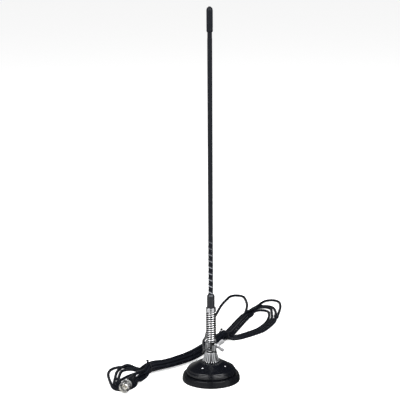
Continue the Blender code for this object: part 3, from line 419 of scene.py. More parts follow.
# Its painted light is painted shade: grey lines where the spring's turns meet.
WIRE_CHROME = Finish("plated_wire", (0.80, 0.80, 0.81), 0.16, 1.0, lay=Lay.DRAWN, grain=700.0,
                     bump=0.025, mottle=0.08, spread=0.07, painted_light=1.0,
                     painted_light_colour=(0.10, 0.10, 0.11))
# Its painted light is painted shade in the knurl's grooves.
NICKEL = Finish("nickel_plate", (0.88, 0.88, 0.87), 0.28, 1.0, lay=Lay.TURNED, grain=900.0,
                bump=0.04, mottle=0.08, painted_light=0.3)
NYLON = Finish("matt_nylon", (0.68, 0.66, 0.60), 0.5, bump=0.05)
DARK_STEEL = Finish("blackened_steel", (0.05, 0.052, 0.055), 0.36, 0.8, lay=Lay.TURNED, bump=0.05)
FERRULE = Finish("dark_ferrule", (0.050, 0.052, 0.058), 0.32, 0.8, lay=Lay.TURNED, bump=0.06,
                 mottle=0.15, spread=0.1, dust=0.15)
GLASS = Finish("glassfibre", (0.5, 0.48, 0.4), 0.5, bump=0.05)
COPPER = Finish("copper_wire", (0.6, 0.3, 0.18), 0.3, 1.0, lay=Lay.DRAWN)
SLEEVE = Finish("shrink_sleeve", (0.008, 0.009, 0.012), 0.30, specular=0.14, lay=Lay.DRAWN,
                grain=1500.0, bump=0.06, mottle=0.18, spread=0.1, dust=0.1)
# Its painted light is a painted highlight: a pale colour on the ridge's crests, stronger near the
# foot.
WOUND = Finish("ridged_shrink_sleeve", (0.007, 0.008, 0.011), 0.30, specular=0.06, lay=Lay.DRAWN,
               grain=1500.0, bump=0.06, mottle=0.18, painted_light=1.3, painted_light_colour=(0.30, 0.31, 0.34),
               crest_coat=True)
WING = Finish("satin_wing", (0.94, 0.94, 0.96), 0.42, 1.0, grain=900.0, bump=0.03, mottle=0.04,
              spread=0.05)
VINYL = Finish("cable_vinyl", (0.006, 0.007, 0.010), 0.26, specular=0.12, lay=Lay.DRAWN,
               grain=1200.0, bump=0.06, mottle=0.16, spread=0.1, dust=0.08)
TIE_FILM = Finish("tie_film", (0.014, 0.014, 0.016), 0.42, specular=0.15, lay=Lay.DRAWN,
                  bump=0.08, mottle=0.2)
INSULATOR = Finish("plug_insulator", (0.74, 0.70, 0.60), 0.45, bump=0.05)

DUST_COLOUR = (0.16, 0.155, 0.15, 1.0)
DUST_SHARE = 0.3
LEAST_ROUGHNESS = 0.02
WHITE = (1.0, 1.0, 1.0, 1.0)
BUMP_HEIGHT = 0.4 * MM
LINE_SHARE = 0.6
LINES_ROUND = {Lay.TURNED: 9000.0, Lay.DRAWN: 160.0}
LINES_ALONG = {Lay.TURNED: 0.0, Lay.DRAWN: 90.0}
CREST_COAT = {"Coat IOR": 1.9, "Coat Roughness": 0.2}


Feed = float | tuple | bpy.types.NodeSocket


class Wiring:
    """Adds nodes to a shader tree and wires them."""

    def __init__(self, tree: bpy.types.NodeTree):
        """Keep the tree's nodes and links."""
        self.nodes, self.links = tree.nodes, tree.links

    def fill(self, node: bpy.types.Node, inputs: dict) -> bpy.types.Node:
        """Set a node's inputs.

        Args:
            node: the node.
            inputs: for each input a value, or the output socket that feeds it.
        Returns:
            The node.
        """
        for name, value in inputs.items():
            if isinstance(value, bpy.types.NodeSocket):
                self.links.new(value, node.inputs[name])
            else:
                node.inputs[name].default_value = value
        return node

    def add(self, kind: str, inputs: dict | None = None) -> bpy.types.Node:
        """Add a node and set its inputs."""
        return self.fill(self.nodes.new(kind), inputs or {})

    def group(self, tree: bpy.types.NodeTree, inputs: dict) -> bpy.types.Node:
        """Add one of the shared groups and set its inputs."""
        node = self.nodes.new("ShaderNodeGroup")
        node.node_tree = tree
        return self.fill(node, inputs)

    def maths(self, operation: str, *terms: Feed, clamp: bool = False) -> bpy.types.NodeSocket:
        """Work out one operation on numbers or sockets."""
        node = self.nodes.new("ShaderNodeMath")
        node.operation = operation
        node.use_clamp = clamp
        return self.fill(node, dict(enumerate(terms))).outputs["Value"]

    def noise(self, place: Feed, scale: Feed, detail: float) -> bpy.types.NodeSocket:
        """Noise over a place."""
        inputs = {"Vector": place, "Scale": scale, "Detail": detail}
        return self.add("ShaderNodeTexNoise", inputs).outputs["Fac"]

    def remap(self, value: Feed, inputs: dict) -> bpy.types.NodeSocket:
        """Map a value from one range to another, both 0 to 1 where no end is given."""
        return self.add("ShaderNodeMapRange", {"Value": value, **inputs}).outputs["Result"]

    def mix(self, factor: Feed, first: Feed, second: Feed,
            blend: str = "MIX") -> bpy.types.NodeSocket:
        """Mix two colours."""
        node = self.nodes.new("ShaderNodeMix")
        node.data_type = "RGBA"
        node.blend_type = blend
        return self.fill(node, {"Factor": factor, "A": first, "B": second}).outputs["Result"]

    def mix_shaders(self, factor: Feed, first: bpy.types.Node,
                    second: bpy.types.Node) -> bpy.types.Node:
        """Mix two shaders, the first where the factor is 0."""
        return self.add("ShaderNodeMixShader", {0: factor, 1: first.outputs[0],
                                                2: second.outputs[0]})


class Dye:
    """Makes the shader groups and the materials, each of them once."""

    def __init__(self):
        """Make the three shared groups."""
        self.grain = self.grain_group()
        self.lines = self.line_group()
        self.painted_light = self.painted_light_group()
        self.made: dict[str, bpy.types.Material] = {}

    @staticmethod
    def start_group(name: str, inputs: dict[str, float], outputs: tuple[str, ...]) -> tuple:
        """Start a shader group whose sockets are all numbers.

        Args:
            name: the group's name.
            inputs: for each input its default.
            outputs: the names of the outputs.
        Returns:
            The group, its wiring, the sockets of its input node and its output node.
        """
        group = bpy.data.node_groups.new(name, "ShaderNodeTree")
        sockets, kind = group.interface, "NodeSocketFloat"
        for label, default in inputs.items():
            socket = sockets.new_socket(label, in_out="INPUT", socket_type=kind)
            socket.default_value = default
        for label in outputs:
            sockets.new_socket(label, in_out="OUTPUT", socket_type=kind)
        wiring = Wiring(group)
        return group, wiring, wiring.add("NodeGroupInput").outputs, wiring.add("NodeGroupOutput")

    def grain_group(self) -> bpy.types.NodeTree:
        """Fine and broad noise in the object's own space, and dust that lies on upward faces."""
        group, wiring, given, end = self.start_group("surface_grain", {"Grain": 1400.0},
                                                     ("Fine", "Broad", "Dust"))
        place = wiring.add("ShaderNodeTexCoord").outputs["Object"]
        specks = wiring.add("ShaderNodeTexNoise", {"Vector": place, "Scale": 420.0, "Detail": 6.0,
                                                   "Roughness": 0.7}).outputs["Fac"]
        normal = wiring.add("ShaderNodeNewGeometry").outputs["Normal"]
        tilt = wiring.add("ShaderNodeSeparateXYZ", {"Vector": normal}).outputs["Z"]
        upward = wiring.remap(tilt, {"From Min": 0.2})
        sharp = wiring.remap(specks, {"From Min": 0.52, "From Max": 0.78})
        wiring.fill(end, {"Fine": wiring.noise(place, given["Grain"], 3.0),
                          "Broad": wiring.noise(place, 55.0, 4.0),
                          "Dust": wiring.maths("MULTIPLY", sharp, upward)})
        return group

    def line_group(self) -> bpy.types.NodeTree:
        """Fine lines round a turned surface, or along a drawn one, from the map named lay."""
        group, wiring, given, end = self.start_group(
            "tool_lines", {"Round": LINES_ROUND[Lay.TURNED], "Along": 0.0}, ("Lines",))
        place = wiring.add("ShaderNodeUVMap")
        place.uv_map = "lay"
        split = wiring.add("ShaderNodeSeparateXYZ", {"Vector": place.outputs["UV"]}).outputs
        total = wiring.maths("ADD", wiring.maths("MULTIPLY", split["X"], given["Along"]),
                             wiring.maths("MULTIPLY", split["Y"], given["Round"]))
        noise = wiring.add("ShaderNodeTexNoise")
        noise.noise_dimensions = "1D"
        wiring.fill(noise, {"W": total, "Scale": 1.0, "Detail": 2.0})
        wiring.fill(end, {"Lines": noise.outputs["Fac"]})
        return group

    def painted_light_group(self) -> bpy.types.NodeTree:
        """Painted shade in grooves and between parts, and a painted highlight on the wound sleeve's
        crests: the attribute named recess, broken up by noise.
        """
        group, wiring, given, end = self.start_group("painted_light_mask", {"Amount": 0.5}, ("Mask",))
        depth = wiring.add("ShaderNodeAttribute")
        depth.attribute_name = "recess"
        place = wiring.add("ShaderNodeTexCoord").outputs["Object"]
        patchy = wiring.remap(wiring.noise(place, 260.0, 3.0), {"To Min": 0.55, "To Max": 1.3})
        patches = wiring.maths("MULTIPLY", depth.outputs["Fac"], patchy)
        wiring.fill(end, {"Mask": wiring.maths("MULTIPLY", patches, given["Amount"], clamp=True)})
        return group

    def material(self, finish: Finish) -> bpy.types.Material:
        """Make a finish's material once.

        Args:
            finish: the finish.
        Returns:
            Its material.
        """
        if finish.name in self.made:
            return self.made[finish.name]
        material = bpy.data.materials.new(finish.name)
        material.use_nodes = True
        wiring = Wiring(material.node_tree)
        shader = wiring.nodes["Principled BSDF"]
        grain = wiring.group(self.grain, {"Grain": finish.grain}).outputs
        colour = self.colour(wiring, finish, grain, shader)
        rough = wiring.remap(grain["Broad"], {
            "To Min": max(LEAST_ROUGHNESS, finish.roughness - finish.spread),
            "To Max": finish.roughness + finish.spread})
        height = grain["Fine"]
        if finish.lay is not Lay.MOULDED:
            lines = wiring.group(self.lines, {"Round": LINES_ROUND[finish.lay],
                                              "Along": LINES_ALONG[finish.lay]})
            height = wiring.maths("MULTIPLY_ADD", lines.outputs["Lines"], LINE_SHARE, height)
        bump = wiring.add("ShaderNodeBump", {"Strength": finish.bump, "Distance": BUMP_HEIGHT,
                                             "Height": height})
        wiring.fill(shader, {"Metallic": finish.metallic, "Specular IOR Level": finish.specular,
                             "Base Color": colour, "Roughness": rough,
                             "Normal": bump.outputs["Normal"]})
        self.made[finish.name] = material
        return material

    def colour(self, wiring: Wiring, finish: Finish, grain: bpy.types.bpy_prop_collection,
               shader: bpy.types.Node) -> bpy.types.NodeSocket:
        """The finish's mottled colour with its dust and its painted light (painted shade in
        grooves, painted highlight on crests), and the coat on its crests.

        Args:
            wiring: the material's wiring.
            finish: the finish.
            grain: the outputs of the grain group.
            shader: the shader, which takes the coat.
        Returns:
            The colour's socket.
        """
        dark = tuple(c * (1.0 - finish.mottle) for c in finish.colour)
        pale = tuple(min(1.0, c * (1.0 + finish.mottle)) for c in finish.colour)
        tone = wiring.mix(grain["Broad"], (*dark, 1.0), (*pale, 1.0))
        dust = wiring.maths("MULTIPLY", grain["Dust"], finish.dust * DUST_SHARE)
        colour = wiring.mix(dust, tone, DUST_COLOUR)
        # painted light: the recess mask mixes in a dark painted shade, or on the wound sleeve a
        # pale painted highlight
        if finish.painted_light > 0.0:
            mask = wiring.group(self.painted_light, {"Amount": finish.painted_light}).outputs["Mask"]
            colour = wiring.mix(mask, colour, (*finish.painted_light_colour, 1.0))
            if finish.crest_coat:
                wiring.fill(shader, {"Coat Weight": mask, **CREST_COAT})
        return colour

    def dress(self, piece: bpy.types.Object, finish: Finish) -> None:
        """Give a piece one finish all over."""
        piece.data.materials.clear()
        piece.data.materials.append(self.material(finish))

    def dress_nodes(self, finish: Finish, *names: str) -> None:
        """Give CAD nodes a finish through their own material slots."""
        for name in names:
            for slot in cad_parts[name].material_slots:
                slot.material = self.material(finish)


# Lead
RELIEF_ROUTE = [(-4.9, 6.5, 42.0), (-8.4, 11.2, 42.0), (-10.6, 14.8, 41.8), (-12.0, 19.0, 41.3),
                (-12.6, 24.5, 40.2), (-12.4, 31.0, 38.2)]
LEAD_ROUTE = [(-12.39, 31.29, 38.11), (-12.2, 40.0, 35.5), (-11.9, 50.0, 32.8), (-11.8, 62.0, 30.1),
              (-12.0, 80.0, 26.7), (-12.6, 100.0, 24.2), (-13.0, 116.0, 23.3), (-12.9, 130.0, 23.1),
              (-12.4, 146.0, 20.6), (-11.4, 168.0, 14.6), (-10.0, 190.0, 8.8), (-8.6, 208.0, 4.8),
              (-7.4, 226.0, 2.8), (-5.8, 246.0, 2.6), (0.0, 288.0, 2.6), (7.5, 328.0, 2.6),
              (14.0, 360.0, 2.6), (22.5, 405.0, 2.6), (30.0, 433.0, 2.6), (36.5, 452.0, 2.6),
              (42.0, 467.0, 2.6), (48.0, 475.0, 2.6), (55.5, 478.0, 2.6), (63.0, 475.5, 2.6),
              (69.0, 468.0, 2.6), (72.5, 455.0, 2.6), (74.6, 438.0, 2.6), (75.5, 417.0, 2.6),
              (73.8, 389.0, 2.6), (70.6, 366.4, 2.6)]
TAIL_ROUTE = [(-114.8, 17.6, 12.75), (-117.0, 12.6, 12.75), (-119.0, 7.0, 13.1),
              (-121.8, -0.5, 14.9), (-125.3, -11.0, 17.8), (-128.9, -23.0, 19.7),
              (-132.43, -34.18, 19.42)]
SPINE = [(-109.0, 31.0, 10.85), (-92.0, 42.0, 10.8), (-75.0, 53.0, 10.7), (-60.0, 66.0, 10.6),
         (-45.0, 80.5, 10.5), (-32.0, 97.0, 10.4), (-20.0, 116.0, 10.5), (-8.5, 137.0, 10.6),
         (2.0, 158.0, 10.7), (14.0, 181.0, 10.8), (25.0, 203.0, 10.85)]
UPPER_BRANCH = [(34.0, 229.0), (40.5, 248.0), (47.0, 268.0), (53.0, 287.0), (59.0, 306.0),
                (65.0, 324.0), (71.5, 342.0)]
LOWER_BRANCH = [(38.5, 209.0), (50.5, 213.0), (62.0, 222.0), (74.0, 232.5), (85.5, 244.0),
                (97.5, 258.5)]
RIGHT_LOOPS = {
    "outer": [(108.5, 277), (117.5, 297), (126, 319), (132.5, 343), (137.5, 368), (141, 393),
              (142, 413), (141, 427), (136.5, 438), (128, 443.5), (118.5, 442), (110.5, 434),
              (102.5, 420), (93.5, 400), (82, 371)],
    "second": [(112.5, 273), (120.5, 292), (126.5, 317), (130, 342), (130.5, 366), (128.5, 387),
               (122, 400.5), (111.5, 405), (101, 400), (93, 386), (84, 367)],
    "third": [(105.5, 279), (113, 296), (119, 317), (122, 340), (122.5, 364), (121, 383),
              (115, 395), (105, 398.5), (95.5, 393), (88.5, 380), (81, 362)],
    "inner": [(101.5, 283), (108.5, 301), (113.5, 321), (116.3, 342), (116, 361), (110, 374.5),
              (99.5, 378.5), (89.5, 373), (80, 354)],
}
LEFT_LOOPS = {
    "outer": [(-124, 40.5, 5.2), (-137, 48, 3.6), (-149, 54, 2.6), (-160, 56, 2.6), (-170, 52, 2.6),
              (-177, 41, 2.6), (-180, 23, 2.6), (-178, 3, 2.6), (-175, -14, 2.6),
              (-171.5, -31, 2.6), (-167, -46, 2.6), (-159, -56, 2.6), (-149.5, -57.5, 2.6),
              (-141, -50, 2.6), (-135, -36, 2.6), (-129, -20, 2.6), (-121.5, -1, 4.4)],
    "second": [(-123, 44, 9.0), (-134, 54, 8.0), (-146, 58.5, 7.5), (-157, 53, 7.5),
               (-164, 39, 7.5), (-166.5, 18, 7.5), (-166.5, -5, 7.5), (-165, -25, 7.5),
               (-160.5, -41, 7.5), (-151, -49, 7.5), (-141, -44, 7.5), (-134, -29, 7.5),
               (-127.5, -12, 7.5), (-120.5, 4, 7.5)],
    "third": [(-124, 40, 7.5), (-135, 45, 7.5), (-146.5, 44, 7.5), (-155, 35, 7.5), (-159, 21, 7.5),
              (-160.5, 4, 7.5), (-160, -14, 7.5), (-156.5, -29, 7.5), (-147.5, -37, 7.5),
              (-138, -31, 7.5), (-131.5, -17, 7.5), (-125, -1, 7.5)],
    "inner": [(-125, 27, 5.4), (-138, 17, 3.4), (-149, 4, 2.6), (-157, -10, 2.6), (-160, -24, 2.6),
              (-157, -35.5, 2.6), (-148.5, -40, 2.6), (-140.5, -33.5, 2.6), (-134.5, -18, 2.6),
              (-124.5, 0, 4.6)],
}
UPPER_PLACES = {"lead": (5.2, 2.6), "outer": (0.0, 2.6), "second": (2.6, 7.0),
                "third": (-2.6, 7.0), "inner": (-5.2, 2.6)}
LOWER_PLACES = {"outer": (-2.6, 2.6), "second": (-7.8, 2.6), "third": (2.6, 2.6),
                "inner": (7.8, 2.6)}
RIGHT_HEIGHTS = {"outer": 2.6, "second": 7.8, "third": 7.6, "inner": 2.6}
BEND_SHARES = ((6, 0.25), (4, 0.25), (2, 0.30), (1, 0.40))
FAIRING = (0.33, -0.34)


def spans(points: np.ndarray, samples: int) -> tuple[np.ndarray, ...]:
    """The four points P0 to P3 of every span of a spline, and the samples' t in it."""
    ends = np.vstack([2 * points[0] - points[1], points, 2 * points[-1] - points[-2]])
    p0, p1, p2, p3 = (ends[i:len(ends) - 3 + i, None] for i in range(4))
    return p0, p1, p2, p3, np.linspace(0.0, 1.0, samples, endpoint=False)[None, :, None]


def catmull(points: np.ndarray, spacing: float) -> np.ndarray:
    """Smooth a route of points and walk it in even steps.

    Between P1 and P2 the curve is ((2 P1) + (P2 - P0) t + (2 P0 - 5 P1 + 4 P2 - P3) t^2 +
    (3 P1 - P0 - 3 P2 + P3) t^3) / 2.

    Args:
        points: route points, one per row.
        spacing: length of a step.
    Returns:
        Evenly spaced points.
    """
    p0, p1, p2, p3, t = spans(points, 16)
    curve = (2 * p1 + (p2 - p0) * t + (2 * p0 - 5 * p1 + 4 * p2 - p3) * t ** 2
             + (3 * p1 - p0 - 3 * p2 + p3) * t ** 3) / 2
    return even(np.vstack([curve.reshape(-1, points.shape[1]), points[-1]]), spacing)


def faired(points: np.ndarray, spacing: float) -> np.ndarray:
    """Walk a cubic B-spline over points in even steps.

    Between P1 and P2 the curve is ((1-t)^3 P0 + (3t^3 - 6t^2 + 4) P1 +
    (-3t^3 + 3t^2 + 3t + 1) P2 + t^3 P3) / 6.

    Args:
        points: control points, one per row.
        spacing: length of a step.
    Returns:
        Evenly spaced points.
    """
    p0, p1, p2, p3, t = spans(points, 6)
    curve = ((1 - t) ** 3 * p0 + (3 * t ** 3 - 6 * t ** 2 + 4) * p1
             + (-3 * t ** 3 + 3 * t ** 2 + 3 * t + 1) * p2 + t ** 3 * p3) / 6
    return even(np.vstack([curve.reshape(-1, points.shape[1]), points[-1]]), spacing)


def even(curve: np.ndarray, spacing: float) -> np.ndarray:
    """Walk a curve in steps of about one spacing."""
    run = lengths_along(curve)
    count = max(2, int(round(run[-1] / spacing)) + 1)
    at = np.linspace(0.0, run[-1], count)
    return np.stack([np.interp(at, run, curve[:, k]) for k in range(curve.shape[1])], axis=1)


def beside(line: list[tuple], offset: float, height: float) -> np.ndarray:
    """A strand beside a branch's middle line.

    Args:
        line: (x, y) points, outwards from the bundle.
        offset: distance to the left of the line.
        height: z of the strand.
    Returns:
        Points (x, y, z).
    """
    flat = np.array(line, float)
    way = unit(np.gradient(flat, axis=0))
    shifted = flat + np.stack([-way[:, 1], way[:, 0]], axis=1) * offset
    return np.column_stack([shifted, np.full(len(flat), height)])


@dataclass
class Lead:
    """The coaxial lead, from the strain relief through the tied hank to the plug."""

    radius: float = 2.5 * MM
    sides: int = 14
    floor: float = 2.6 * MM
    bundle: float = 6.1 * MM
    bulge: float = 0.18
    bend: float = 15.0 * MM
    spacing: float = 3.5 * MM
    fine_spacing: float = 2.6 * MM
    clearance: float = 0.10 * MM
    fairings: int = 60
    steps: int = 320
    search_every: int = 8
    search_reach: float = 3.0 * MM
    follow: float = 0.25
    pull: float = 0.05
    bundle_lift: float = 0.08
    sink: float = 0.06 * MM
    tie_inner: float = 9.25 * MM
    tie_half: float = 4.0 * MM
    tie_reach: float = 25.0 * MM
    free_from: int = 14
    slots: tuple[float, ...] = (-45.0, -90.0, 0.0, 180.0, 45.0, 135.0, math.nan, -135.0, 90.0)
    piece: bpy.types.Object | None = None

    def spine_pass(self, number: int) -> np.ndarray:
        """One strand of the bundle, in mm, from the left tie to the right one.

        The strand keeps a slot on a ring round the bundle's middle, or the middle itself.
        """
        spine = np.array(SPINE)
        angle = self.slots[number - 1]
        if math.isnan(angle):
            return spine
        way = unit(np.gradient(spine[:, :2], axis=0))
        side = np.column_stack([-way[:, 1], way[:, 0], np.zeros(len(way))])
        share = np.linspace(0.0, math.pi, len(spine))
        reach = (self.bundle / MM * (1.0 + self.bulge * np.sin(share) ** 2))[:, None]
        turn = math.radians(angle)
        return spine + side * reach * math.cos(turn) + UP * reach * math.sin(turn)

    def route(self) -> tuple[np.ndarray, np.ndarray]:
        """The whole route in order of the winding, in metres.

        Returns:
            The route's points, and for each a weight from 0, free, to 1, held.
        """
        parts = [np.array(LEAD_ROUTE), beside(UPPER_BRANCH, *UPPER_PLACES["lead"])[::-1],
                 self.spine_pass(1)[::-1], np.array(LEFT_LOOPS["outer"], float),
                 self.spine_pass(2)]
        lefts = iter(("second", "third", "inner"))
        for turn, name in enumerate(RIGHT_LOOPS):
            loop = np.array(RIGHT_LOOPS[name], float)
            parts.append(beside(LOWER_BRANCH, *LOWER_PLACES[name]))
            parts.append(np.column_stack([loop, np.full(len(loop), RIGHT_HEIGHTS[name])]))
            parts.append(beside(UPPER_BRANCH, *UPPER_PLACES[name])[::-1])
            parts.append(self.spine_pass(3 + 2 * turn)[::-1])
            left = next(lefts, None)
            if left is not None:
                parts.append(np.array(LEFT_LOOPS[left], float))
                parts.append(self.spine_pass(4 + 2 * turn))
        parts.append(np.array(TAIL_ROUTE))
        held = np.zeros(sum(len(part) for part in parts))
        held[:self.free_from] = held[-len(TAIL_ROUTE):] = 1.0
        joined = catmull(np.column_stack([np.vstack(parts) * MM, held * MM]), self.spacing)
        return joined[:, :3], joined[:, 3] / MM

    def settle(self, start: np.ndarray, held: np.ndarray) -> np.ndarray:
        """Let the strands find their places under their weight.

        Each step lowers the free points, draws them to their planned way, which follows them
        slowly, opens bends that are too tight, restores the spacing, parts strands that overlap,
        and keeps them above the floor and inside the ties.

        Args:
            start: planned points.
            held: 1 where a point stays, 0 where it is free.
        Returns:
            Settled points.
        """
        points = start.copy()
        free = (held < 0.5)[:, None]
        apart = 2 * self.radius + self.clearance
        bundled = self.in_bundle(start)
        pull = np.column_stack([np.full((len(start), 2), self.pull),
                                np.where(bundled, self.bundle_lift, 0.0)])
        weight = np.where(bundled, 0.0, self.sink)
        for _ in range(self.fairings):
            self.open_bends(points)
            points = np.where(free, points, start)
        plan = points.copy()
        for step in range(self.steps):
            if step % self.search_every == 0:
                first, second = self.near_pairs(points, apart + self.search_reach)
                plan += (points - plan) * self.follow
            points[:, 2] -= weight
            points += (plan - points) * pull
            for _ in range(2):
                self.open_bends(points)
                self.keep_spacing(points)
                self.part_strands(points, first, second, apart)
                self.hold_in_ties(points)
                points[:, 2] = np.maximum(points[:, 2], self.floor)
                points = np.where(free, points, start)
        return points

    def in_bundle(self, plan: np.ndarray) -> np.ndarray:
        """True for points that run in the tied bundle."""
        step, margin = 4.0 * MM, 2.0 * MM
        spine = catmull(np.array(SPINE) * MM, step)
        reach = np.linalg.norm(plan[:, None, :2] - spine[None, :, :2], axis=-1).min(axis=1)
        return reach < self.bundle * (1.0 + self.bulge) + margin

    def open_bends(self, points: np.ndarray) -> None:
        """Ease points whose sagitta over a reach s is more than R (1 - cos(s / R)).

        R is the least radius. A light fairing follows, by FAIRING's shares of the deviation
        from the neighbours' middle.
        """
        for reach, share in BEND_SHARES:
            middle = (points[:-2 * reach] + points[2 * reach:]) / 2
            way = middle - points[reach:-reach]
            size = np.linalg.norm(way, axis=1)
            limit = self.bend * (1.0 - math.cos(reach * self.spacing / self.bend))
            excess = np.maximum(0.0, size - limit) / np.maximum(size, TINY)
            move = way * (excess * share)[:, None]
            points[reach:-reach] += move
            points[:-2 * reach] -= move * 0.5
            points[2 * reach:] -= move * 0.5
        for share in FAIRING:
            points[1:-1] += ((points[:-2] + points[2:]) / 2 - points[1:-1]) * share

    def keep_spacing(self, points: np.ndarray) -> None:
        """Bring neighbours back to their distance along the lead."""
        rounds, share = 3, 0.25
        for _ in range(rounds):
            gap = np.diff(points, axis=0)
            length = np.linalg.norm(gap, axis=1)
            mend = gap * ((length - self.spacing) / np.maximum(length, TINY) * share)[:, None]
            points[:-1] += mend
            points[1:] -= mend

    @staticmethod
    def part_strands(points: np.ndarray, first: np.ndarray, second: np.ndarray,
                     apart: float) -> None:
        """Push overlapping points of two strands apart, shared between all their neighbours."""
        share = 0.45
        way = points[first] - points[second]
        length = np.linalg.norm(way, axis=1)
        short = np.maximum(0.0, apart - length)
        push = way * (short / np.maximum(length, TINY) * share)[:, None]
        shift, weight = np.zeros_like(points), np.zeros(len(points))
        hit = (short > 0).astype(float)
        for side, sign in ((first, 1.0), (second, -1.0)):
            np.add.at(shift, side, sign * push)
            np.add.at(weight, side, hit)
        points += shift / np.maximum(1.0, weight * share)[:, None]

    def hold_in_ties(self, points: np.ndarray) -> None:
        """Keep the strands inside the two ties' rings."""
        limit = self.tie_inner - self.radius
        for at, near in ((0, 1), (-1, -2)):
            way = unit(np.array(SPINE[near], float) - np.array(SPINE[at], float))
            offset = points - np.array(SPINE[at]) * MM
            depth = offset @ way
            inside = ((np.abs(depth) < self.tie_half)
                      & (np.linalg.norm(offset, axis=1) < self.tie_reach))
            radial = offset - depth[:, None] * way
            size = np.linalg.norm(radial, axis=1)
            over = inside & (size > limit)
            points[over] -= radial[over] * (1.0 - limit / size[over])[:, None]

    @staticmethod
    def near_pairs(points: np.ndarray, reach: float) -> tuple[np.ndarray, np.ndarray]:
        """Pairs of points of different strands that are closer than a reach."""
        same_strand = 4
        square = np.sum(points ** 2, axis=1)
        apart = square[:, None] + square[None, :] - 2 * points @ points.T
        first, second = np.nonzero(apart < reach ** 2)
        keep = second - first > same_strand
        return first[keep], second[keep]

    def build(self, with_pieces: list[bpy.types.Object]) -> None:
        path = self.settle(*self.route())
        fine = faired(path, self.fine_spacing)
        tube = swept(fine, self.radius, UP, self.sides)
        shape = Shape("coaxial_lead", Body.BASE).grid(tube).cap(tube[0][::-1]).cap(tube[-1])
        self.piece = shape.build(("cable_lead", "cable_hank", "cable_tail"), "black_vinyl")

    def dress(self, dye: Dye) -> None:
        """Give the lead its vinyl."""
        dye.dress(self.piece, VINYL)


@dataclass
class StrainRelief:
    """The tapered relief that turns the lead round the bell."""

    radius: float = 3.3 * MM
    end_r: float = 2.75 * MM
    ribs: int = 9
    notch: float = 0.09
    plain_share: float = 0.12
    spacing: float = 0.35 * MM
    sides: int = 28
    piece: bpy.types.Object | None = None

    def build(self) -> bpy.types.Object:
        """Sweep the taper with its ribs: r = taper (1 - 0.09 s), s a row of rounded notches."""
        path = catmull(np.array(RELIEF_ROUTE) * MM, self.spacing)
        share = np.linspace(0.0, 1.0, len(path))
        taper = np.interp(share, [0.0, 0.2, 1.0], [self.radius, self.radius, self.end_r])
        wave = 0.5 + 0.5 * np.cos(TAU * share * self.ribs)
        notch = (np.clip((wave - 0.55) / 0.45, 0.0, 1.0)
                 * np.clip((share - self.plain_share) * 12, 0, 1))
        sizes = taper * (1.0 - self.notch * notch)
        sizes[[0, -1]] = 0.0
        points = swept(path, sizes, UP, self.sides)
        points[0], points[-1] = path[1], path[-2]
        shape = Shape("lead_relief", Body.BASE).grid(points)
        self.piece = shape.build(("strain_relief",), "black_rubber")
        return self.piece

    def dress(self, dye: Dye) -> None:
        """Give the relief its rubber."""
        dye.dress(self.piece, RUBBER)


@dataclass
class WireTies:
    """Two covered wire ties, each with one turn round the bundle and twisted tails."""

    wire: float = 0.75 * MM
    sides: int = 10
    edge: float = 0.25 * MM
    spacing: float = 0.5 * MM
    ring: float = 10.0 * MM
    lean: float = 68.0
    step: float = 1.6 * MM
    tail: float = 2.6 * MM
    twist: float = 3.2 * MM
    tails_apart: float = 1.85
    swell: float = 0.9
    neck: float = 0.8 * MM
    up_lean: float = 0.31
    turn_rows: int = 73
    tail_rows: int = 26
    pieces: list = field(default_factory=list)

    def build(self) -> list[bpy.types.Object]:
        """Make both ties on their places of the spine."""
        for number, (at, near) in enumerate(((0, 1), (-1, -2)), 1):
            ahead = np.array(SPINE[near], float) - np.array(SPINE[at], float)
            ahead[2] = 0.0
            ahead = unit(ahead) * (1.0 if at == 0 else -1.0)
            tube = self.tube(np.array(SPINE[at]) * MM, ahead)
            shape = Shape(f"wire_tie_{number}", Body.BASE).grid(tube)
            self.pieces.append(shape.build((f"twist_tie_{number}",), "black_vinyl"))
        return self.pieces

    def tube(self, here: np.ndarray, ahead: np.ndarray) -> np.ndarray:
        """Sweep one tie: down a tail, once round the bundle and up the other tail.

        The tails wind round each other, and their covering is thicker than the turn's.

        Args:
            here: the bundle's middle at the tie.
            ahead: the level direction along the bundle.
        Returns:
            The grid of points.
        """
        side = np.array([-ahead[1], ahead[0], 0.0])
        lean = math.radians(self.lean)
        outward = side * math.cos(lean) + UP * math.sin(lean)
        across = np.cross(ahead, outward)
        turn = np.linspace(0.0, TAU, self.turn_rows)[:, None]
        loop = (here + self.ring * (np.cos(lean + turn) * side + np.sin(lean + turn) * UP)
                + self.step * (turn / TAU - 0.5) * ahead)
        rise = np.linspace(0.0, self.tail, self.tail_rows)[:, None]
        wind = rise / self.twist * TAU
        grow = np.clip(rise / self.step, 0.0, 1.0)
        reach = self.step / 2 * (1 - grow) + self.wire * self.tails_apart * grow
        core = here + outward * (self.ring + rise)
        away = reach * np.cos(wind) * ahead + reach * np.sin(wind) * across
        path = np.vstack([(core - away)[:0:-1], loop[1:-1], (core + away)[1:]])
        points, sizes = blunt(catmull(path, self.spacing), self.wire, self.edge)
        run = lengths_along(points)
        near_end = np.minimum(run, run[-1] - run)
        thick = np.clip((self.tail + self.neck - near_end) / self.neck, 0.0, 1.0)
        up = np.cross(unit(np.gradient(points, axis=0)), ahead + self.up_lean * outward)
        return swept(points, sizes * (1.0 + self.swell * thick), up, self.sides)

    def dress(self, dye: Dye) -> None:
        """Give the ties their film."""
        for piece in self.pieces:
            dye.dress(piece, TIE_FILM)


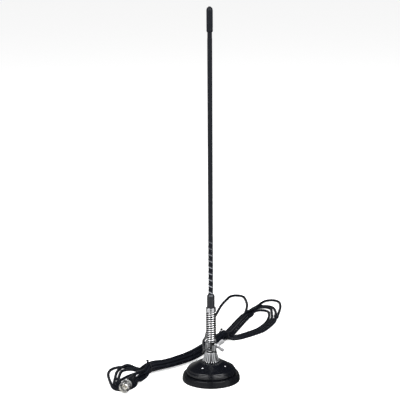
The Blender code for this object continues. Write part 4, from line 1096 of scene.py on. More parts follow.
@dataclass
class Plug:
    """The screw-on plug: knurled coupling ring, shell, insulator, pin and ribbed boot."""

    nose: tuple[float, float, float] = (-147.9, -81.8, 14.6)
    yaw: float = 72.0
    pitch: float = 5.5
    ring_r: float = 9.2 * MM
    bore_r: float = 8.0 * MM
    ring_l: float = 18.0 * MM
    lip_l: float = 2.7 * MM
    shell_r: float = 6.0 * MM
    wall: float = 0.9 * MM
    front: float = 6.0 * MM
    flange_r: float = 7.6 * MM
    flange_l: float = 2.2 * MM
    contact_r: float = 2.0 * MM
    gap: float = 0.3 * MM
    boot_r: float = 7.0 * MM
    boot_end_r: float = 4.2 * MM
    boot_l: float = 31.7 * MM
    grooves: int = 7
    groove: float = 0.34 * MM
    teeth: int = 44
    tooth: float = 0.30 * MM
    tooth_columns: int = 8
    thread: float = 0.22 * MM
    pieces: dict = field(default_factory=dict)

    def place(self) -> Matrix:
        """The plug's axis, from its mouth back to the boot."""
        yaw, pitch = math.radians(self.yaw), math.radians(self.pitch)
        way = Vector((math.cos(pitch) * math.cos(yaw), math.cos(pitch) * math.sin(yaw),
                      math.sin(pitch)))
        return along(way, Vector(self.nose) * MM)

    def knurled_ring(self, place: Matrix) -> None:
        """The ring: a closed profile, with crossed grooves between two plain collars.

        With w = |sin(n a + k s) sin(n a - k s)| the knurl takes 0.30 mm (1 - sqrt w) from
        the radius.
        """
        r, bore, end, lip = self.ring_r, self.bore_r, self.ring_l, self.shell_r + self.gap
        s0, s1 = 3.2 * MM, end - 4.4 * MM
        heel, mouth, edge = end - self.lip_l, bore + 0.25 * MM, 0.1 * MM
        crown, waist, band = r - 0.02 * MM, r - 0.6 * MM, r - 0.25 * MM
        rim, neck = r - 0.15 * MM, r - 0.55 * MM
        outside = rounded([(mouth, 0.0), (r - 0.9 * MM, 0.0, 0.3 * MM), (rim, 0.9 * MM, 0.3 * MM),
                           (rim, 2.4 * MM, 0.15 * MM), (neck, 2.6 * MM, edge),
                           (neck, 3.0 * MM, edge), (crown, s0, edge)])
        middle = [(crown, s) for s in np.linspace(s0 + 0.2 * MM, s1 - 0.2 * MM, 60)]
        back = rounded([(crown, s1, edge), (waist, s1 + 0.2 * MM, edge),
                        (waist, end - 2.6 * MM, edge), (band, end - 2.3 * MM, 0.15 * MM),
                        (band, end - 0.5 * MM, 0.25 * MM), (r - 1.0 * MM, end, 0.3 * MM),
                        (lip, end), (lip, heel), (bore, heel)])
        threads = [(bore + self.thread * (i % 2), s)
                   for i, s in enumerate(np.linspace(heel - 1.0 * MM, 1.0 * MM, 27))]
        profile = np.vstack([outside, middle, back, threads])
        columns = self.teeth * self.tooth_columns
        points = revolved(profile, columns)
        angle = circle(columns)
        rows = slice(len(outside), len(outside) + len(middle))
        s = profile[rows, 1][:, None]
        pitch = TAU * self.ring_r / self.teeth
        wave = np.abs(np.sin(self.teeth / 2 * angle + math.pi * s / pitch)
                      * np.sin(self.teeth / 2 * angle - math.pi * s / pitch))
        fade = np.clip(np.minimum(s - s0, s1 - s) / (0.5 * MM), 0.0, 1.0)
        shrink = 1.0 - self.tooth * (1.0 - np.sqrt(wave)) * fade / self.ring_r
        points[rows, :, :2] *= shrink[..., None]
        # Painted shade in the knurl's grooves, darkest where the knurl cuts deepest.
        recess = np.zeros(points.shape[:2])
        recess[rows] = (1.0 - np.sqrt(wave)) ** 2 * fade
        shape = Shape("knurled_ring", Body.PLUG_RING).grid(points, True, place, recess)
        self.pieces["ring"] = shape.build(("coupling_ring",), "nickel")

    def build(self) -> list[bpy.types.Object]:
        """Make the plug's five pieces."""
        place = self.place()
        self.knurled_ring(place)
        low = self.ring_l - self.lip_l - self.gap - self.flange_l
        back = low + self.flange_l
        tail = self.ring_l + self.gap + 12.0 * MM
        inner = self.shell_r - self.wall
        outer = self.shell_r - 0.4 * MM
        seat = low + 1.0 * MM
        inside = seat - self.gap
        fine = 0.12 * MM
        shell = rounded([(0, seat), (inner, seat), (inner, self.front, fine),
                         (outer, self.front, fine),
                         (outer, low), (self.flange_r, low, fine), (self.flange_r, back, fine),
                         (self.shell_r, back), (self.shell_r, tail, 0.4 * MM), (0, tail)])
        self.pieces["shell"] = turned("plug_sleeve", Body.BASE, "plug_shell", "nickel", shell, 96,
                                      place=place)
        block = inner - self.gap
        contact = self.contact_r
        hole = contact + self.gap
        face = self.front + 0.8 * MM
        insulator = rounded([(hole, inside), (hole, face, 0.2 * MM), (block, face, 0.3 * MM),
                             (block, inside)])
        self.pieces["insulator"] = turned("plug_disc", Body.BASE, "plug_insulator",
                                          "plug_insulator", insulator, 64, True, place)
        tip = 1.2 * MM
        pin = rounded([(0, tip), (contact * 0.5, tip, 0.3 * MM),
                       (contact, tip + 1.5 * MM, 0.4 * MM), (contact, inside), (0, inside)])
        self.pieces["pin"] = turned("plug_pin", Body.BASE, "centre_pin", "nickel", pin, 48,
                                    place=place)
        self.pieces["boot"] = self.ribbed_boot(place, tail)
        return list(self.pieces.values())

    def ribbed_boot(self, place: Matrix, tail: float) -> bpy.types.Object:
        """The soft boot: a grip collar, then a taper with seven rounded grooves."""
        low = self.ring_l + self.gap
        end = low + self.boot_l
        pocket = self.shell_r + self.gap
        front = rounded([(0, tail + self.gap), (pocket, tail + self.gap), (pocket, low),
                         (self.boot_r, low, 0.5 * MM), (self.boot_r, low + 4.2 * MM, 0.4 * MM),
                         (6.6 * MM, low + 5.0 * MM)])
        s = np.linspace(low + 5.2 * MM, end - 1.0 * MM, 110)
        body = np.interp(s, [low + 5.0 * MM, low + 15.0 * MM, end - 6.0 * MM, end],
                         [6.6 * MM, 5.9 * MM, 4.6 * MM, self.boot_end_r])
        share = (s - low - 8.0 * MM) / (17.0 * MM)
        wave = np.clip(np.cos(TAU * share * self.grooves) * 1.6 - 0.6, 0.0, 1.0)
        body = body - self.groove * wave * ((share > 0.0) & (share < 1.0))
        back = rounded([(body[-1], s[-1]), (self.boot_end_r, end, 0.5 * MM), (0.0, end)])
        profile = np.vstack([front, np.column_stack([body, s]), back])
        return turned("plug_grip", Body.BASE, "plug_boot", "black_rubber", profile, 72,
                      place=place)

    def dress(self, dye: Dye) -> None:
        """Nickel for the metal, rubber for the boot."""
        for name, finish in (("ring", NICKEL), ("shell", NICKEL), ("pin", NICKEL),
                             ("insulator", INSULATOR), ("boot", RUBBER)):
            dye.dress(self.pieces[name], finish)


# Base
@dataclass
class MagneticBase:
    """Rubber cup, pressed cover and its rivets."""

    base_r: float = 50.0 * MM
    boot_top_r: float = 47.9 * MM
    boot_edge: float = 5.0 * MM
    boot_h: float = 11.9 * MM
    floor: float = 1.2 * MM
    neck_r: float = 42.2 * MM
    bead_r: float = 43.0 * MM
    wall: float = 1.6 * MM
    shoulder_r: float = 40.3 * MM
    crown_r: float = 20.5 * MM
    hole_r: float = 6.3 * MM
    rivet_r: float = 28.5 * MM
    rivet_angles: tuple[float, ...] = (-122.0, -32.0, 58.0, 148.0)
    columns: int = 256
    slope: tuple[float, float] = (0.0, 0.0)
    pieces: dict = field(default_factory=dict)

    def build(self) -> None:
        """Make the cup, the cover and the rivets."""
        self.build_cup()
        self.build_cover()
        self.build_rivets()

    def build_cup(self) -> None:
        """Turn the rubber cup with its rounded lip."""
        pocket = self.neck_r + 0.3 * MM
        top = self.boot_h
        cup = rounded([(0, 0), (self.base_r - 0.6 * MM, 0, 0.3 * MM),
                       (self.base_r, 0.7 * MM, 0.5 * MM),
                       (self.base_r, self.boot_edge, 1.8 * MM), (self.boot_top_r, top, 2.1 * MM),
                       (pocket + 0.7 * MM, top, 0.9 * MM), (pocket, top - 1.0 * MM, 0.4 * MM),
                       (pocket, self.floor), (0, self.floor)], 7)
        self.pieces["cup"] = turned("rubber_cup", Body.BASE, "rubber_boot", "black_rubber", cup,
                                    self.columns)

    def build_cover(self) -> None:
        """Turn the pressed cover: skirt, bead, shoulder, cone and crown, closed inside."""
        foot = low_z("base_cover")
        top = high_z("base_cover")
        bead_low = self.boot_h + 1.2 * MM
        bead_top = bead_low + 4.6 * MM
        shoulder = bead_top + 4.3 * MM
        wall = self.wall
        outside = [(self.neck_r, foot), (self.neck_r, bead_low - 0.3 * MM, 0.4 * MM),
                   (self.bead_r + 0.1 * MM, bead_low + 0.5 * MM, 0.6 * MM),
                   (self.bead_r + 0.2 * MM, bead_top + 0.1 * MM, 1.9 * MM),
                   (self.shoulder_r + 0.9 * MM, bead_top + 1.5 * MM, 0.9 * MM),
                   (self.shoulder_r, shoulder, 2.6 * MM), (self.crown_r, top, 1.6 * MM),
                   (self.hole_r, top)]
        inside = [(self.hole_r, top - wall), (self.crown_r - 0.3 * MM, top - wall, 1.0 * MM),
                  (self.shoulder_r - 1.2 * MM, shoulder - wall * 0.95, 0.8 * MM),
                  (self.neck_r - wall, bead_top - 1.2 * MM, 0.8 * MM), (self.neck_r - wall, foot)]
        profile = rounded(outside + inside, 8)
        self.pieces["cover"] = turned("pressed_cover", Body.BASE, "base_cover", "black_paint",
                                      profile, self.columns, True)
        self.slope = (shoulder, top)

    def rivet_place(self, angle: float) -> Matrix:
        """Where a rivet meets the cone, with Z along the cone's normal."""
        shoulder, top = self.slope
        run, rise = self.shoulder_r - self.crown_r, top - shoulder
        turn = math.radians(angle)
        z = shoulder + (self.shoulder_r - self.rivet_r) * rise / run
        outward = Vector((math.cos(turn), math.sin(turn), 0.0))
        return along(outward * rise + Vector((0, 0, run)),
                     outward * self.rivet_r + Vector((0, 0, z)))

    def build_rivets(self) -> None:
        """Turn one domed rivet for each of the four places."""
        head, rise, shank, gap = 1.9 * MM, 1.1 * MM, 1.2 * MM, 0.05 * MM
        inside = 3.4 * MM
        turn = np.linspace(0.0, math.pi / 2, 10)
        dome = [(head * math.cos(a), gap + rise * math.sin(a)) for a in turn]
        tail = -inside - 0.8 * MM
        profile = np.array([(0, tail), (shank + 0.3 * MM, tail), (shank + 0.6 * MM, -inside),
                            (shank, -inside), (shank, gap), (head, gap)]
                           + dome[1:-1] + [(0.0, gap + rise)])
        for number, angle in enumerate(self.rivet_angles, 1):
            self.pieces[f"rivet_{number}"] = turned(
                f"dome_rivet_{number}", Body.BASE, f"rivet_{number}", "bright_chrome", profile, 40,
                place=self.rivet_place(angle))

    def dress(self, dye: Dye) -> None:
        """Finish the base and the CAD nodes inside it."""
        dye.dress(self.pieces["cup"], RUBBER)
        dye.dress(self.pieces["cover"], PAINT)
        for name, piece in self.pieces.items():
            if name.startswith("rivet"):
                dye.dress(piece, CHROME)
        dye.dress_nodes(FERRITE, "magnet_ring")
        dye.dress_nodes(ZINC, "rivet_plate", "pole_plate", "centre_stud", "spacer_tube",
                        "clamp_nut")
        dye.dress_nodes(NYLON, "insulating_bush")


@dataclass
class BellCollar:
    """The fluted bell under the joint."""

    foot_r: float = 15.5 * MM
    low_r: float = 14.4 * MM
    top_r: float = 10.0 * MM
    foot_h: float = 2.0 * MM
    recess_r: float = 8.8 * MM
    recess_h: float = 1.8 * MM
    bore_r: float = 3.3 * MM
    socket_r: float = 4.3 * MM
    socket_h: float = 7.3 * MM
    flutes: int = 24
    flute_r: float = 0.95 * MM
    flute_low: float = 1.12
    flute_taper: float = 0.34
    flute_lift: float = 0.30
    flute_columns: int = 20
    sharp: float = 50.0
    hole_r: float = 3.45 * MM
    hole_l: float = 13.5 * MM
    hole_back: float = 0.3 * MM
    piece: bpy.types.Object | None = None

    def build(self) -> None:
        """Turn the bell and press its flutes, which run out through the foot.

        At arc distance d from a flute's middle the radius loses sqrt(w^2 - d^2) - 0.3 w,
        faded out below the rim.
        """
        low, high = low_z("bell_collar"), high_z("bell_collar")
        step = high - self.socket_h
        cone_low, cone_high = low + self.foot_h + 0.4 * MM, high - 0.6 * MM
        inside = rounded([(self.bore_r, step), (self.bore_r, low + self.recess_h),
                          (self.recess_r, low + self.recess_h), (self.recess_r, low),
                          (self.foot_r - 0.6 * MM, low)])
        foot = rounded([(self.foot_r - 0.5 * MM, low), (self.foot_r, low, 0.35 * MM),
                        (self.foot_r, low + self.foot_h, 0.5 * MM),
                        (self.low_r + 0.1 * MM, cone_low)])
        z = np.linspace(cone_low + 0.1 * MM, cone_high, 72)
        share = (z - cone_low) / (cone_high - cone_low)
        cone = np.column_stack([self.low_r + (self.top_r - self.low_r) * share, z])
        end = rounded([(self.top_r, cone_high), (self.top_r - 0.1 * MM, high, 0.45 * MM),
                       (self.socket_r, high, 0.15 * MM), (self.socket_r, step)])
        profile = np.vstack([inside, foot, cone, end])
        columns = self.flutes * self.flute_columns
        points = revolved(profile, columns)
        pitch = TAU / self.flutes
        offset = np.abs((circle(columns) / pitch) % 1.0 - 0.5) * pitch
        rows = slice(len(inside), len(inside) + len(foot) + len(cone))
        r, z = profile[rows, 0], profile[rows, 1]
        rise = np.clip((z - cone_low) / (cone_high - cone_low), 0.0, 1.0)
        width = self.flute_r * (self.flute_low - self.flute_taper * rise)[:, None]
        d = offset[None, :] * r[:, None]
        arch = np.sqrt(np.maximum(0.0, width ** 2 - d ** 2))
        depth = np.maximum(0.0, arch - self.flute_lift * width)
        fade = np.clip((cone_high - 0.9 * MM - z) / (1.1 * MM), 0.0, 1.0)
        depth = depth * np.sqrt(fade)[:, None]
        points[rows, :, :2] *= (1.0 - depth / r[:, None])[..., None]
        # Painted shade in the flutes, darker towards the foot.
        recess = np.zeros(points.shape[:2])
        groove = np.clip(depth / (0.62 * self.flute_r), 0.0, 1.0) ** 1.5
        recess[rows] = groove * (1.0 - 0.55 * rise)[:, None]
        shape = Shape("fluted_bell", Body.BASE).grid(points, ring=True, recess=recess)
        self.piece = shape.build(("bell_collar",), "bright_chrome", self.sharp)
        root = Vector(RELIEF_ROUTE[0]) * MM
        way = Vector(RELIEF_ROUTE[1]) * MM - root
        start = along(way, root - way.normalized() * self.hole_back)
        cut(self.piece, rod_cutter(start, self.hole_r, self.hole_l))

    def dress(self, dye: Dye) -> None:
        """Chrome the bell."""
        dye.dress(self.piece, CHROME)


@dataclass
class FoldJoint:
    """The fold-over joint: two ears cut from round bar, the washer, the screw and the wing."""

    ear_r: float = 7.3 * MM
    bar_r: float = 9.5 * MM
    split: float = 0.6 * MM
    disc_r: float = 7.2 * MM
    flange_r: float = 9.3 * MM
    pin_r: float = 3.2 * MM
    edge: float = 0.55 * MM
    soft: float = 0.10 * MM
    least: float = 0.3 * MM
    side_rows: int = 8
    base_rows: int = 15
    blade_power: float = 2.4
    washer_gap: float = 0.3 * MM
    wing_out: float = 23.2 * MM
    wing_half: float = 14.2 * MM
    hub_r: float = 4.4 * MM
    hub_l: float = 4.0 * MM
    tilt: float = 61.0 * MM
    pieces: dict = field(default_factory=dict)

    def ear(self, shape: Shape, hand: float, rise: float, far: float) -> None:
        """Add one ear to a shape.

        Sections across X follow a round end and two straight sides. Their half width is the
        soft minimum of the outline and of the bar's sqrt(R^2 - x^2), and the inner face has
        a round edge.

        Args:
            shape: the piece that takes the ear.
            hand: 1 for the right-hand ear, -1 for the left-hand one.
            rise: 1 for a round end on top, -1 for one below.
            far: height where the straight sides end.
        """
        arc = np.linspace(0.0, math.pi, 49)
        sides, base, r = self.side_rows, self.base_rows, self.ear_r
        side = np.linspace(0.0, 1.0, sides + 1)[1:]
        span = abs(far - self.tilt)
        y = np.r_[r * np.cos(arc), np.full(sides, -r), np.linspace(-1, 1, base + 2)[1:-1] * r,
                  np.full(sides, r)]
        h = np.r_[r * np.sin(arc), -side * span, np.full(base, -span), -side[::-1] * span]
        normal_y = np.r_[np.cos(arc), np.full(sides, -1.0), np.zeros(base), np.full(sides, 1.0)]
        normal_h = np.r_[np.sin(arc), np.zeros(sides + base + sides)]
        turn = np.linspace(0.0, math.pi / 2, 6)
        face = self.split + self.edge * (1.0 - np.cos(turn))
        first = math.asin((self.split + self.edge * 1.2) / self.bar_r)
        middle = self.bar_r * np.sin(np.linspace(first, math.radians(86.0), 34))
        x = np.r_[face, middle]
        inset = np.r_[self.edge * (1.0 - np.sin(turn)), np.zeros(len(middle))]
        width = np.sqrt(np.maximum(0.0, self.bar_r ** 2 - x ** 2))
        clip = np.maximum(width, self.least)[:, None]
        yy = y[None] - normal_y[None] * inset[:, None]
        hh = h[None] - normal_h[None] * inset[:, None]
        size = np.abs(yy)
        short = -self.soft * np.logaddexp(-size / self.soft, -clip / self.soft)
        yy = np.sign(yy) * np.maximum(np.minimum(short, size), 0.0)
        xx = np.broadcast_to(x[:, None] * hand, yy.shape)
        points = np.stack([xx, yy, self.tilt + rise * hh], axis=-1)
        centre = points.mean(axis=1, keepdims=True)
        points = np.concatenate([np.broadcast_to(centre[0], points[:1].shape), points,
                                 np.broadcast_to(centre[-1], points[:1].shape)])
        # Painted shade where the ear meets its disc or flange, and over the inner face in the split
        # between the ears.
        recess = np.clip(1.0 - np.abs(points[..., 2] - far) / (2.0 * MM), 0.0, 1.0)
        recess[:len(face) + 2] = 1.0
        if hand * rise < 0:
            points, recess = points[:, ::-1], recess[:, ::-1]
        shape.grid(points, recess=recess)

    def bore(self, x_low: float, x_high: float) -> bpy.types.Object:
        """A rod on the tilt axis to cut with."""
        start = along(Vector((1, 0, 0)), Vector((x_low, 0, self.tilt)))
        return rod_cutter(start, self.pin_r, x_high - x_low)

    def build(self) -> None:
        """Make both knuckles and the wing lever."""
        self.build_lower()
        self.build_upper()
        self.build_wing()

    def build_lower(self) -> None:
        """Disc, spigot and right-hand ear."""
        low = low_z("lower_knuckle")
        disc_low = high_z("bell_collar") + 0.3 * MM
        disc_top = disc_low + 2.1 * MM
        spigot = 4.0 * MM
        disc = rounded([(0, low), (spigot, low, 0.4 * MM), (spigot, disc_low),
                        (self.disc_r, disc_low, 0.25 * MM),
                        (self.disc_r, disc_top, 0.45 * MM), (0, disc_top)])
        points = revolved(disc, 96)
        # Painted shade on the disc's foot, where it meets the bell.
        recess = np.clip(1.0 - (points[..., 2] - disc_low) / (1.5 * MM), 0.0, 1.0)
        shape = Shape("lower_ear", Body.BASE).grid(points, recess=recess)
        self.ear(shape, 1.0, 1.0, disc_low + 1.0 * MM)
        piece = shape.build(("lower_knuckle",), "bright_chrome")
        self.pieces["lower"] = cut(piece, self.bore(-1.0 * MM, self.bar_r + 1.0 * MM))

    def build_upper(self) -> None:
        """Left-hand ear, the spring's seat flange and the boss inside the coil."""
        flange_low = self.tilt + self.ear_r + 0.6 * MM
        flange_top = flange_low + 1.3 * MM
        boss = 4.8 * MM
        top = high_z("upper_knuckle")
        seat = rounded([(0, flange_low), (self.flange_r, flange_low, 0.3 * MM),
                        (self.flange_r, flange_top, 0.3 * MM), (boss, flange_top),
                        (boss, top, 0.8 * MM), (0, top)])
        points = revolved(seat, 96)
        # Painted shade under the seat flange.
        recess = np.clip(1.0 - (points[..., 2] - flange_low) / (0.7 * MM), 0.0, 1.0)
        shape = Shape("upper_ear", Body.TILT_HEAD).grid(points, recess=recess)
        self.ear(shape, -1.0, -1.0, flange_low + 0.6 * MM)
        piece = shape.build(("upper_knuckle",), "bright_chrome")
        self.pieces["upper"] = cut(piece, self.bore(-self.bar_r + 1.3 * MM, 1.0 * MM))

    def blade(self, shape: Shape, hand: float) -> None:
        """Loft one blade of the wing along its middle line.

        Sections are superellipses |u/w|^n + |v/t|^n = 1, with n = 2.4, whose half width w
        swells towards the round tip and whose half thickness t thins a little.

        Args:
            shape: the piece that takes the blade.
            hand: 1 for the upper blade, -1 for the lower one.
        """
        root = np.array([self.bar_r + self.washer_gap + 1.6 * MM, 0.9 * MM])
        tip = np.array([self.wing_out - 0.9 * MM, self.wing_half - 4.6 * MM])
        straight, tip_power, columns = 0.75, 3.2, 40
        bend = 1.0 - straight
        tip_turn = np.linspace(0.0, math.pi / 2, 16)[1:]
        share = np.r_[0.0, np.linspace(0.0, straight, 24), 1.0 - bend * np.cos(tip_turn)]
        way = unit(tip - root)
        swell = np.interp(share, [0.0, 0.3, 0.7, 1.0], [3.1 * MM, 3.0 * MM, 3.9 * MM, 3.8 * MM])
        beyond = np.clip((share - straight) / bend, 0.0, 1.0)
        close = np.sqrt(np.clip(1.0 - beyond ** tip_power, 0.0, 1.0))
        width = swell * close
        thick = np.interp(share, [0.0, 1.0], [1.25 * MM, 0.85 * MM]) * np.sqrt(close)
        width[0] = thick[0] = 0.0
        power = 2 / self.blade_power
        across, deep = (np.sign(wave) * np.abs(wave) ** power
                        for wave in (np.cos(circle(columns)), np.sin(circle(columns))))
        middle = root + (tip - root) * share[:, None]
        offset = width[:, None] * across
        points = np.stack([middle[:, :1] - offset * way[1],
                           thick[:, None] * deep,
                           self.tilt + hand * (middle[:, 1:] + offset * way[0])], axis=-1)
        shape.grid(points if hand < 0 else points[:, ::-1])

    def build_wing(self) -> None:
        """The wing lever: two crowned blades in a V and a round hub on the screw."""
        hub_low = self.bar_r + self.washer_gap
        shape = Shape("wing_handle", Body.WING)
        self.blade(shape, 1.0)
        self.blade(shape, -1.0)
        end = hub_low + self.hub_l
        r = self.hub_r
        hub = rounded([(0, end - 1.2 * MM), (self.pin_r, end - 1.2 * MM), (self.pin_r, hub_low),
                       (r, hub_low, 0.3 * MM), (r, end, 0.9 * MM), (0, end + 0.35 * MM)])
        place = along(Vector((1, 0, 0)), Vector((0, 0, self.tilt)))
        shape.grid(revolved(hub, 72), place=place)
        self.pieces["wing"] = shape.build(("wing_lever",), "bright_chrome")

    def dress(self, dye: Dye) -> None:
        """Chrome the joint, with its dark washer and zinc screw."""
        for piece in self.pieces.values():
            dye.dress(piece, CHROME)
        dye.dress(self.pieces["wing"], WING)
        dye.dress_nodes(DARK_STEEL, "friction_washer")
        dye.dress_nodes(ZINC, "clamp_screw")


@dataclass
class ShockSpring:
    """The close-wound spring between the tilting head and the whip."""

    outside: float = 9.0 * MM
    wire: float = 3.7 * MM
    turns: float = 12.2
    start: float = -126.0
    edge: float = 0.35 * MM
    sides: int = 24
    rows_a_turn: int = 72
    groove_from: float = 0.58
    groove_width: float = 0.26
    piece: bpy.types.Object | None = None

    def build(self) -> None:
        """Sweep the wire up its helix: x = R cos a, y = R sin a, z = z0 + pitch a / tau."""
        low = low_z("coil_spring") + self.wire / 2
        high = high_z("coil_spring") - self.wire / 2
        turn = np.linspace(0.0, self.turns, int(self.turns * self.rows_a_turn))
        angle = math.radians(self.start) + TAU * turn
        radius = self.outside - self.wire / 2
        rise = (high - low) / self.turns
        path = np.column_stack([radius * np.cos(angle), radius * np.sin(angle), low + rise * turn])
        points, sizes = blunt(path, self.wire / 2, self.edge)
        up = points * np.array([1.0, 1.0, 0.0])
        # Painted shade on the wire's top and bottom, where the turns meet.
        side = np.abs(np.cos(circle(self.sides)))
        groove = np.clip((side - self.groove_from) / self.groove_width, 0.0, 1.0)
        recess = np.broadcast_to(groove, (len(points), self.sides))
        shape = Shape("shock_coil", None).grid(swept(points, sizes, up, self.sides),
                                               recess=recess)
        self.piece = shape.build(("coil_spring",), "bright_chrome")
        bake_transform(self.piece)
        LOG.info("spring between %.4f and %.4f m", low, high)

    def dress(self, dye: Dye) -> None:
        """Plate the wire."""
        dye.dress(self.piece, WIRE_CHROME)


@dataclass
class Whip:
    """Collar, ferrule, wound and smooth sleeves, neck and cap."""

    collar_r: float = 8.8 * MM
    boss_r: float = 4.8 * MM
    bore_r: float = 3.3 * MM
    ferrule_r: float = 6.75 * MM
    stud_r: float = 3.0 * MM
    core_r: float = 1.8 * MM
    sleeve_r: float = 4.1 * MM
    wall: float = 0.8 * MM
    ridge: float = 0.45 * MM
    ridge_w: float = 3.4 * MM
    ripple: float = 0.04 * MM
    pitch: float = 11.1 * MM
    crest_l: float = 80.0 * MM
    wound_rows: int = 430
    wound_sharp: float = 55.0
    neck_r: float = 3.9 * MM
    cap_r: float = 5.3 * MM
    screw_r: float = 1.3 * MM
    screw_l: float = 3.6 * MM
    screw_share: float = 0.55
    collar_l: float = 7.5 * MM
    socket_l: float = 14.3 * MM
    hexagon_r: float = 0.72 * MM
    gap: float = 0.3 * MM
    pieces: dict = field(default_factory=dict)

    def build(self) -> None:
        """Make the whip's pieces from the spring up."""
        self.build_collar()
        self.build_ferrule()
        self.build_sleeves()
        self.build_tip()

    def build_collar(self) -> None:
        """The plain collar with its boss, and the socket screw in its side."""
        low, high = low_z("spring_collar"), high_z("spring_collar")
        foot = high - self.collar_l
        bottom = low_z("ferrule") - self.gap
        r = self.collar_r
        collar = rounded([(0, low), (self.boss_r, low, 0.8 * MM), (self.boss_r, foot),
                          (r, foot, 0.4 * MM), (r, high, 0.7 * MM), (self.bore_r, high, 0.2 * MM),
                          (self.bore_r, bottom), (0, bottom)])
        piece = turned("plain_collar", Body.WHIP, "spring_collar", "bright_chrome", collar, 128)
        z = foot + self.collar_l * self.screw_share
        out = along(Vector((0, -1, 0)), Vector((0, 0, z)))
        start = out @ Matrix.Translation((0, 0, r - 3.9 * MM))
        self.pieces["collar"] = cut(piece, rod_cutter(start, self.screw_r + self.gap, 6.0 * MM))
        face = r - 0.5 * MM
        screw = rounded([(0, r - self.screw_l), (self.screw_r, r - self.screw_l, 0.3 * MM),
                         (self.screw_r, face, 0.2 * MM), (0.75 * MM, face)])
        socket = np.array([(self.hexagon_r, face - 0.02 * MM), (self.hexagon_r, face - 1.2 * MM),
                           (0.0, face - 1.35 * MM)])
        points = revolved(np.vstack([screw, socket]), 48)
        hexagon = math.cos(math.pi / 6) / np.cos((circle(48) % (TAU / 6)) - math.pi / 6)
        points[len(screw):, :, :2] *= hexagon[None, :, None]
        shape = Shape("socket_screw", Body.WHIP).grid(points, place=out)
        self.pieces["screw"] = shape.build(("set_screw",), "dark_washer")

    def build_ferrule(self) -> None:
        """The dark ferrule with its bevelled shoulder and the rod's socket."""
        low, high = low_z("ferrule"), high_z("ferrule")
        foot = low + 5.0 * MM
        r = self.ferrule_r
        bore = self.core_r + self.gap
        ferrule = rounded([(0, low), (self.stud_r, low, 0.5 * MM), (self.stud_r, foot),
                           (r, foot, 0.5 * MM), (r, high - 3.0 * MM, 0.7 * MM),
                           (self.sleeve_r + 0.7 * MM, high, 0.5 * MM),
                           (bore, high), (bore, high - self.socket_l),
                           (0, high - self.socket_l)], 7)
        self.pieces["ferrule"] = turned("bevelled_ferrule", Body.WHIP, "ferrule", "dark_ferrule",
                                        ferrule, 112)

    def build_sleeves(self) -> None:
        """The sleeve over the winding and the smooth one above it.

        With p = wrap(a + tau z / pitch) and e = exp(-|2 p R / w|^3) the wound radius is
        R + h e + f sin(2 p) (1 - e), a left-hand ridge with a soft, flat-topped section.
        """
        low, high = low_z("wound_sleeve"), high_z("wound_sleeve")
        inner = self.sleeve_r - self.wall
        z = np.linspace(low, high, self.wound_rows)
        columns = 72
        angle = circle(columns)
        phase = (angle[None] + TAU * (z[:, None] - low) / self.pitch + math.pi) % TAU - math.pi
        lift = np.exp(-np.abs(phase * self.sleeve_r / (self.ridge_w * 0.5)) ** 3)
        fine = self.ripple * np.sin(phase * 2.0) * (1.0 - lift)
        r = self.sleeve_r + self.ridge * lift + fine
        outer = np.stack([r * np.cos(angle), r * np.sin(angle),
                          np.broadcast_to(z[:, None], r.shape)], axis=-1)
        bore = revolved(np.array([(inner, high), (inner, low)]), columns)
        # Painted highlight on the ridge's crests, fading over crest_l up the sleeve.
        crest = lift * (1.0 - 0.72 * np.clip((z - low) / self.crest_l, 0.0, 1.0))[:, None]
        shape = Shape("ridged_sleeve", Body.WHIP).grid(
            np.concatenate([outer, bore]), ring=True,
            recess=np.concatenate([crest, np.zeros((2, columns))]))
        self.pieces["wound"] = shape.build(("wound_sleeve",), "black_sleeve", self.wound_sharp)
        low, high = low_z("smooth_sleeve"), high_z("smooth_sleeve")
        lip = 0.25 * MM
        sleeve = rounded([(inner, low), (self.sleeve_r, low, lip), (self.sleeve_r, high, lip),
                          (inner, high)])
        self.pieces["smooth"] = turned("plain_sleeve", Body.WHIP, "smooth_sleeve", "black_sleeve",
                                       sleeve, columns, True)

    def build_tip(self) -> None:
        """The neck and the moulded cap with its small nipple."""
        low, high = low_z("tip_neck"), high_z("tip_neck")
        bore = self.core_r + self.gap
        neck = np.array([(bore, low), (self.neck_r, low), (self.neck_r, high), (bore, high)])
        self.pieces["neck"] = turned("bare_neck", Body.WHIP, "tip_neck", "black_sleeve", neck, 64,
                                     True)
        low, high = low_z("tip_cap"), high_z("tip_cap")
        r = self.cap_r
        hole = self.neck_r + self.gap
        seat = high_z("tip_neck") + self.gap
        cap = rounded([(0, seat + 5.0 * MM), (bore, seat + 5.0 * MM), (bore, seat), (hole, seat),
                       (hole, low), (r - 0.8 * MM, low, 0.4 * MM), (r, low + 1.2 * MM, 0.8 * MM),
                       (r, low + 4.6 * MM, 0.2 * MM), (r - 0.18 * MM, low + 4.9 * MM, 0.1 * MM),
                       (r - 0.18 * MM, low + 5.5 * MM, 0.1 * MM), (r, low + 5.8 * MM, 0.2 * MM),
                       (r, high - 5.4 * MM, 2.0 * MM), (r * 0.80, high - 2.2 * MM, 1.2 * MM),
                       (r * 0.42, high - 1.1 * MM, 0.4 * MM),
                       (r * 0.34, high - 0.2 * MM, 0.4 * MM), (0, high)], 7)
        self.pieces["cap"] = turned("moulded_cap", Body.WHIP, "tip_cap", "black_sleeve", cap, 80)

    def dress(self, dye: Dye) -> None:
        """Finish the whip and the CAD nodes inside it."""
        dye.dress(self.pieces["collar"], CHROME)
        dye.dress(self.pieces["screw"], DARK_STEEL)
        dye.dress(self.pieces["ferrule"], FERRULE)
        dye.dress(self.pieces["wound"], WOUND)
        for name in ("smooth", "neck", "cap"):
            dye.dress(self.pieces[name], SLEEVE)
        dye.dress_nodes(GLASS, "whip_core")
        dye.dress_nodes(COPPER, "loading_winding")


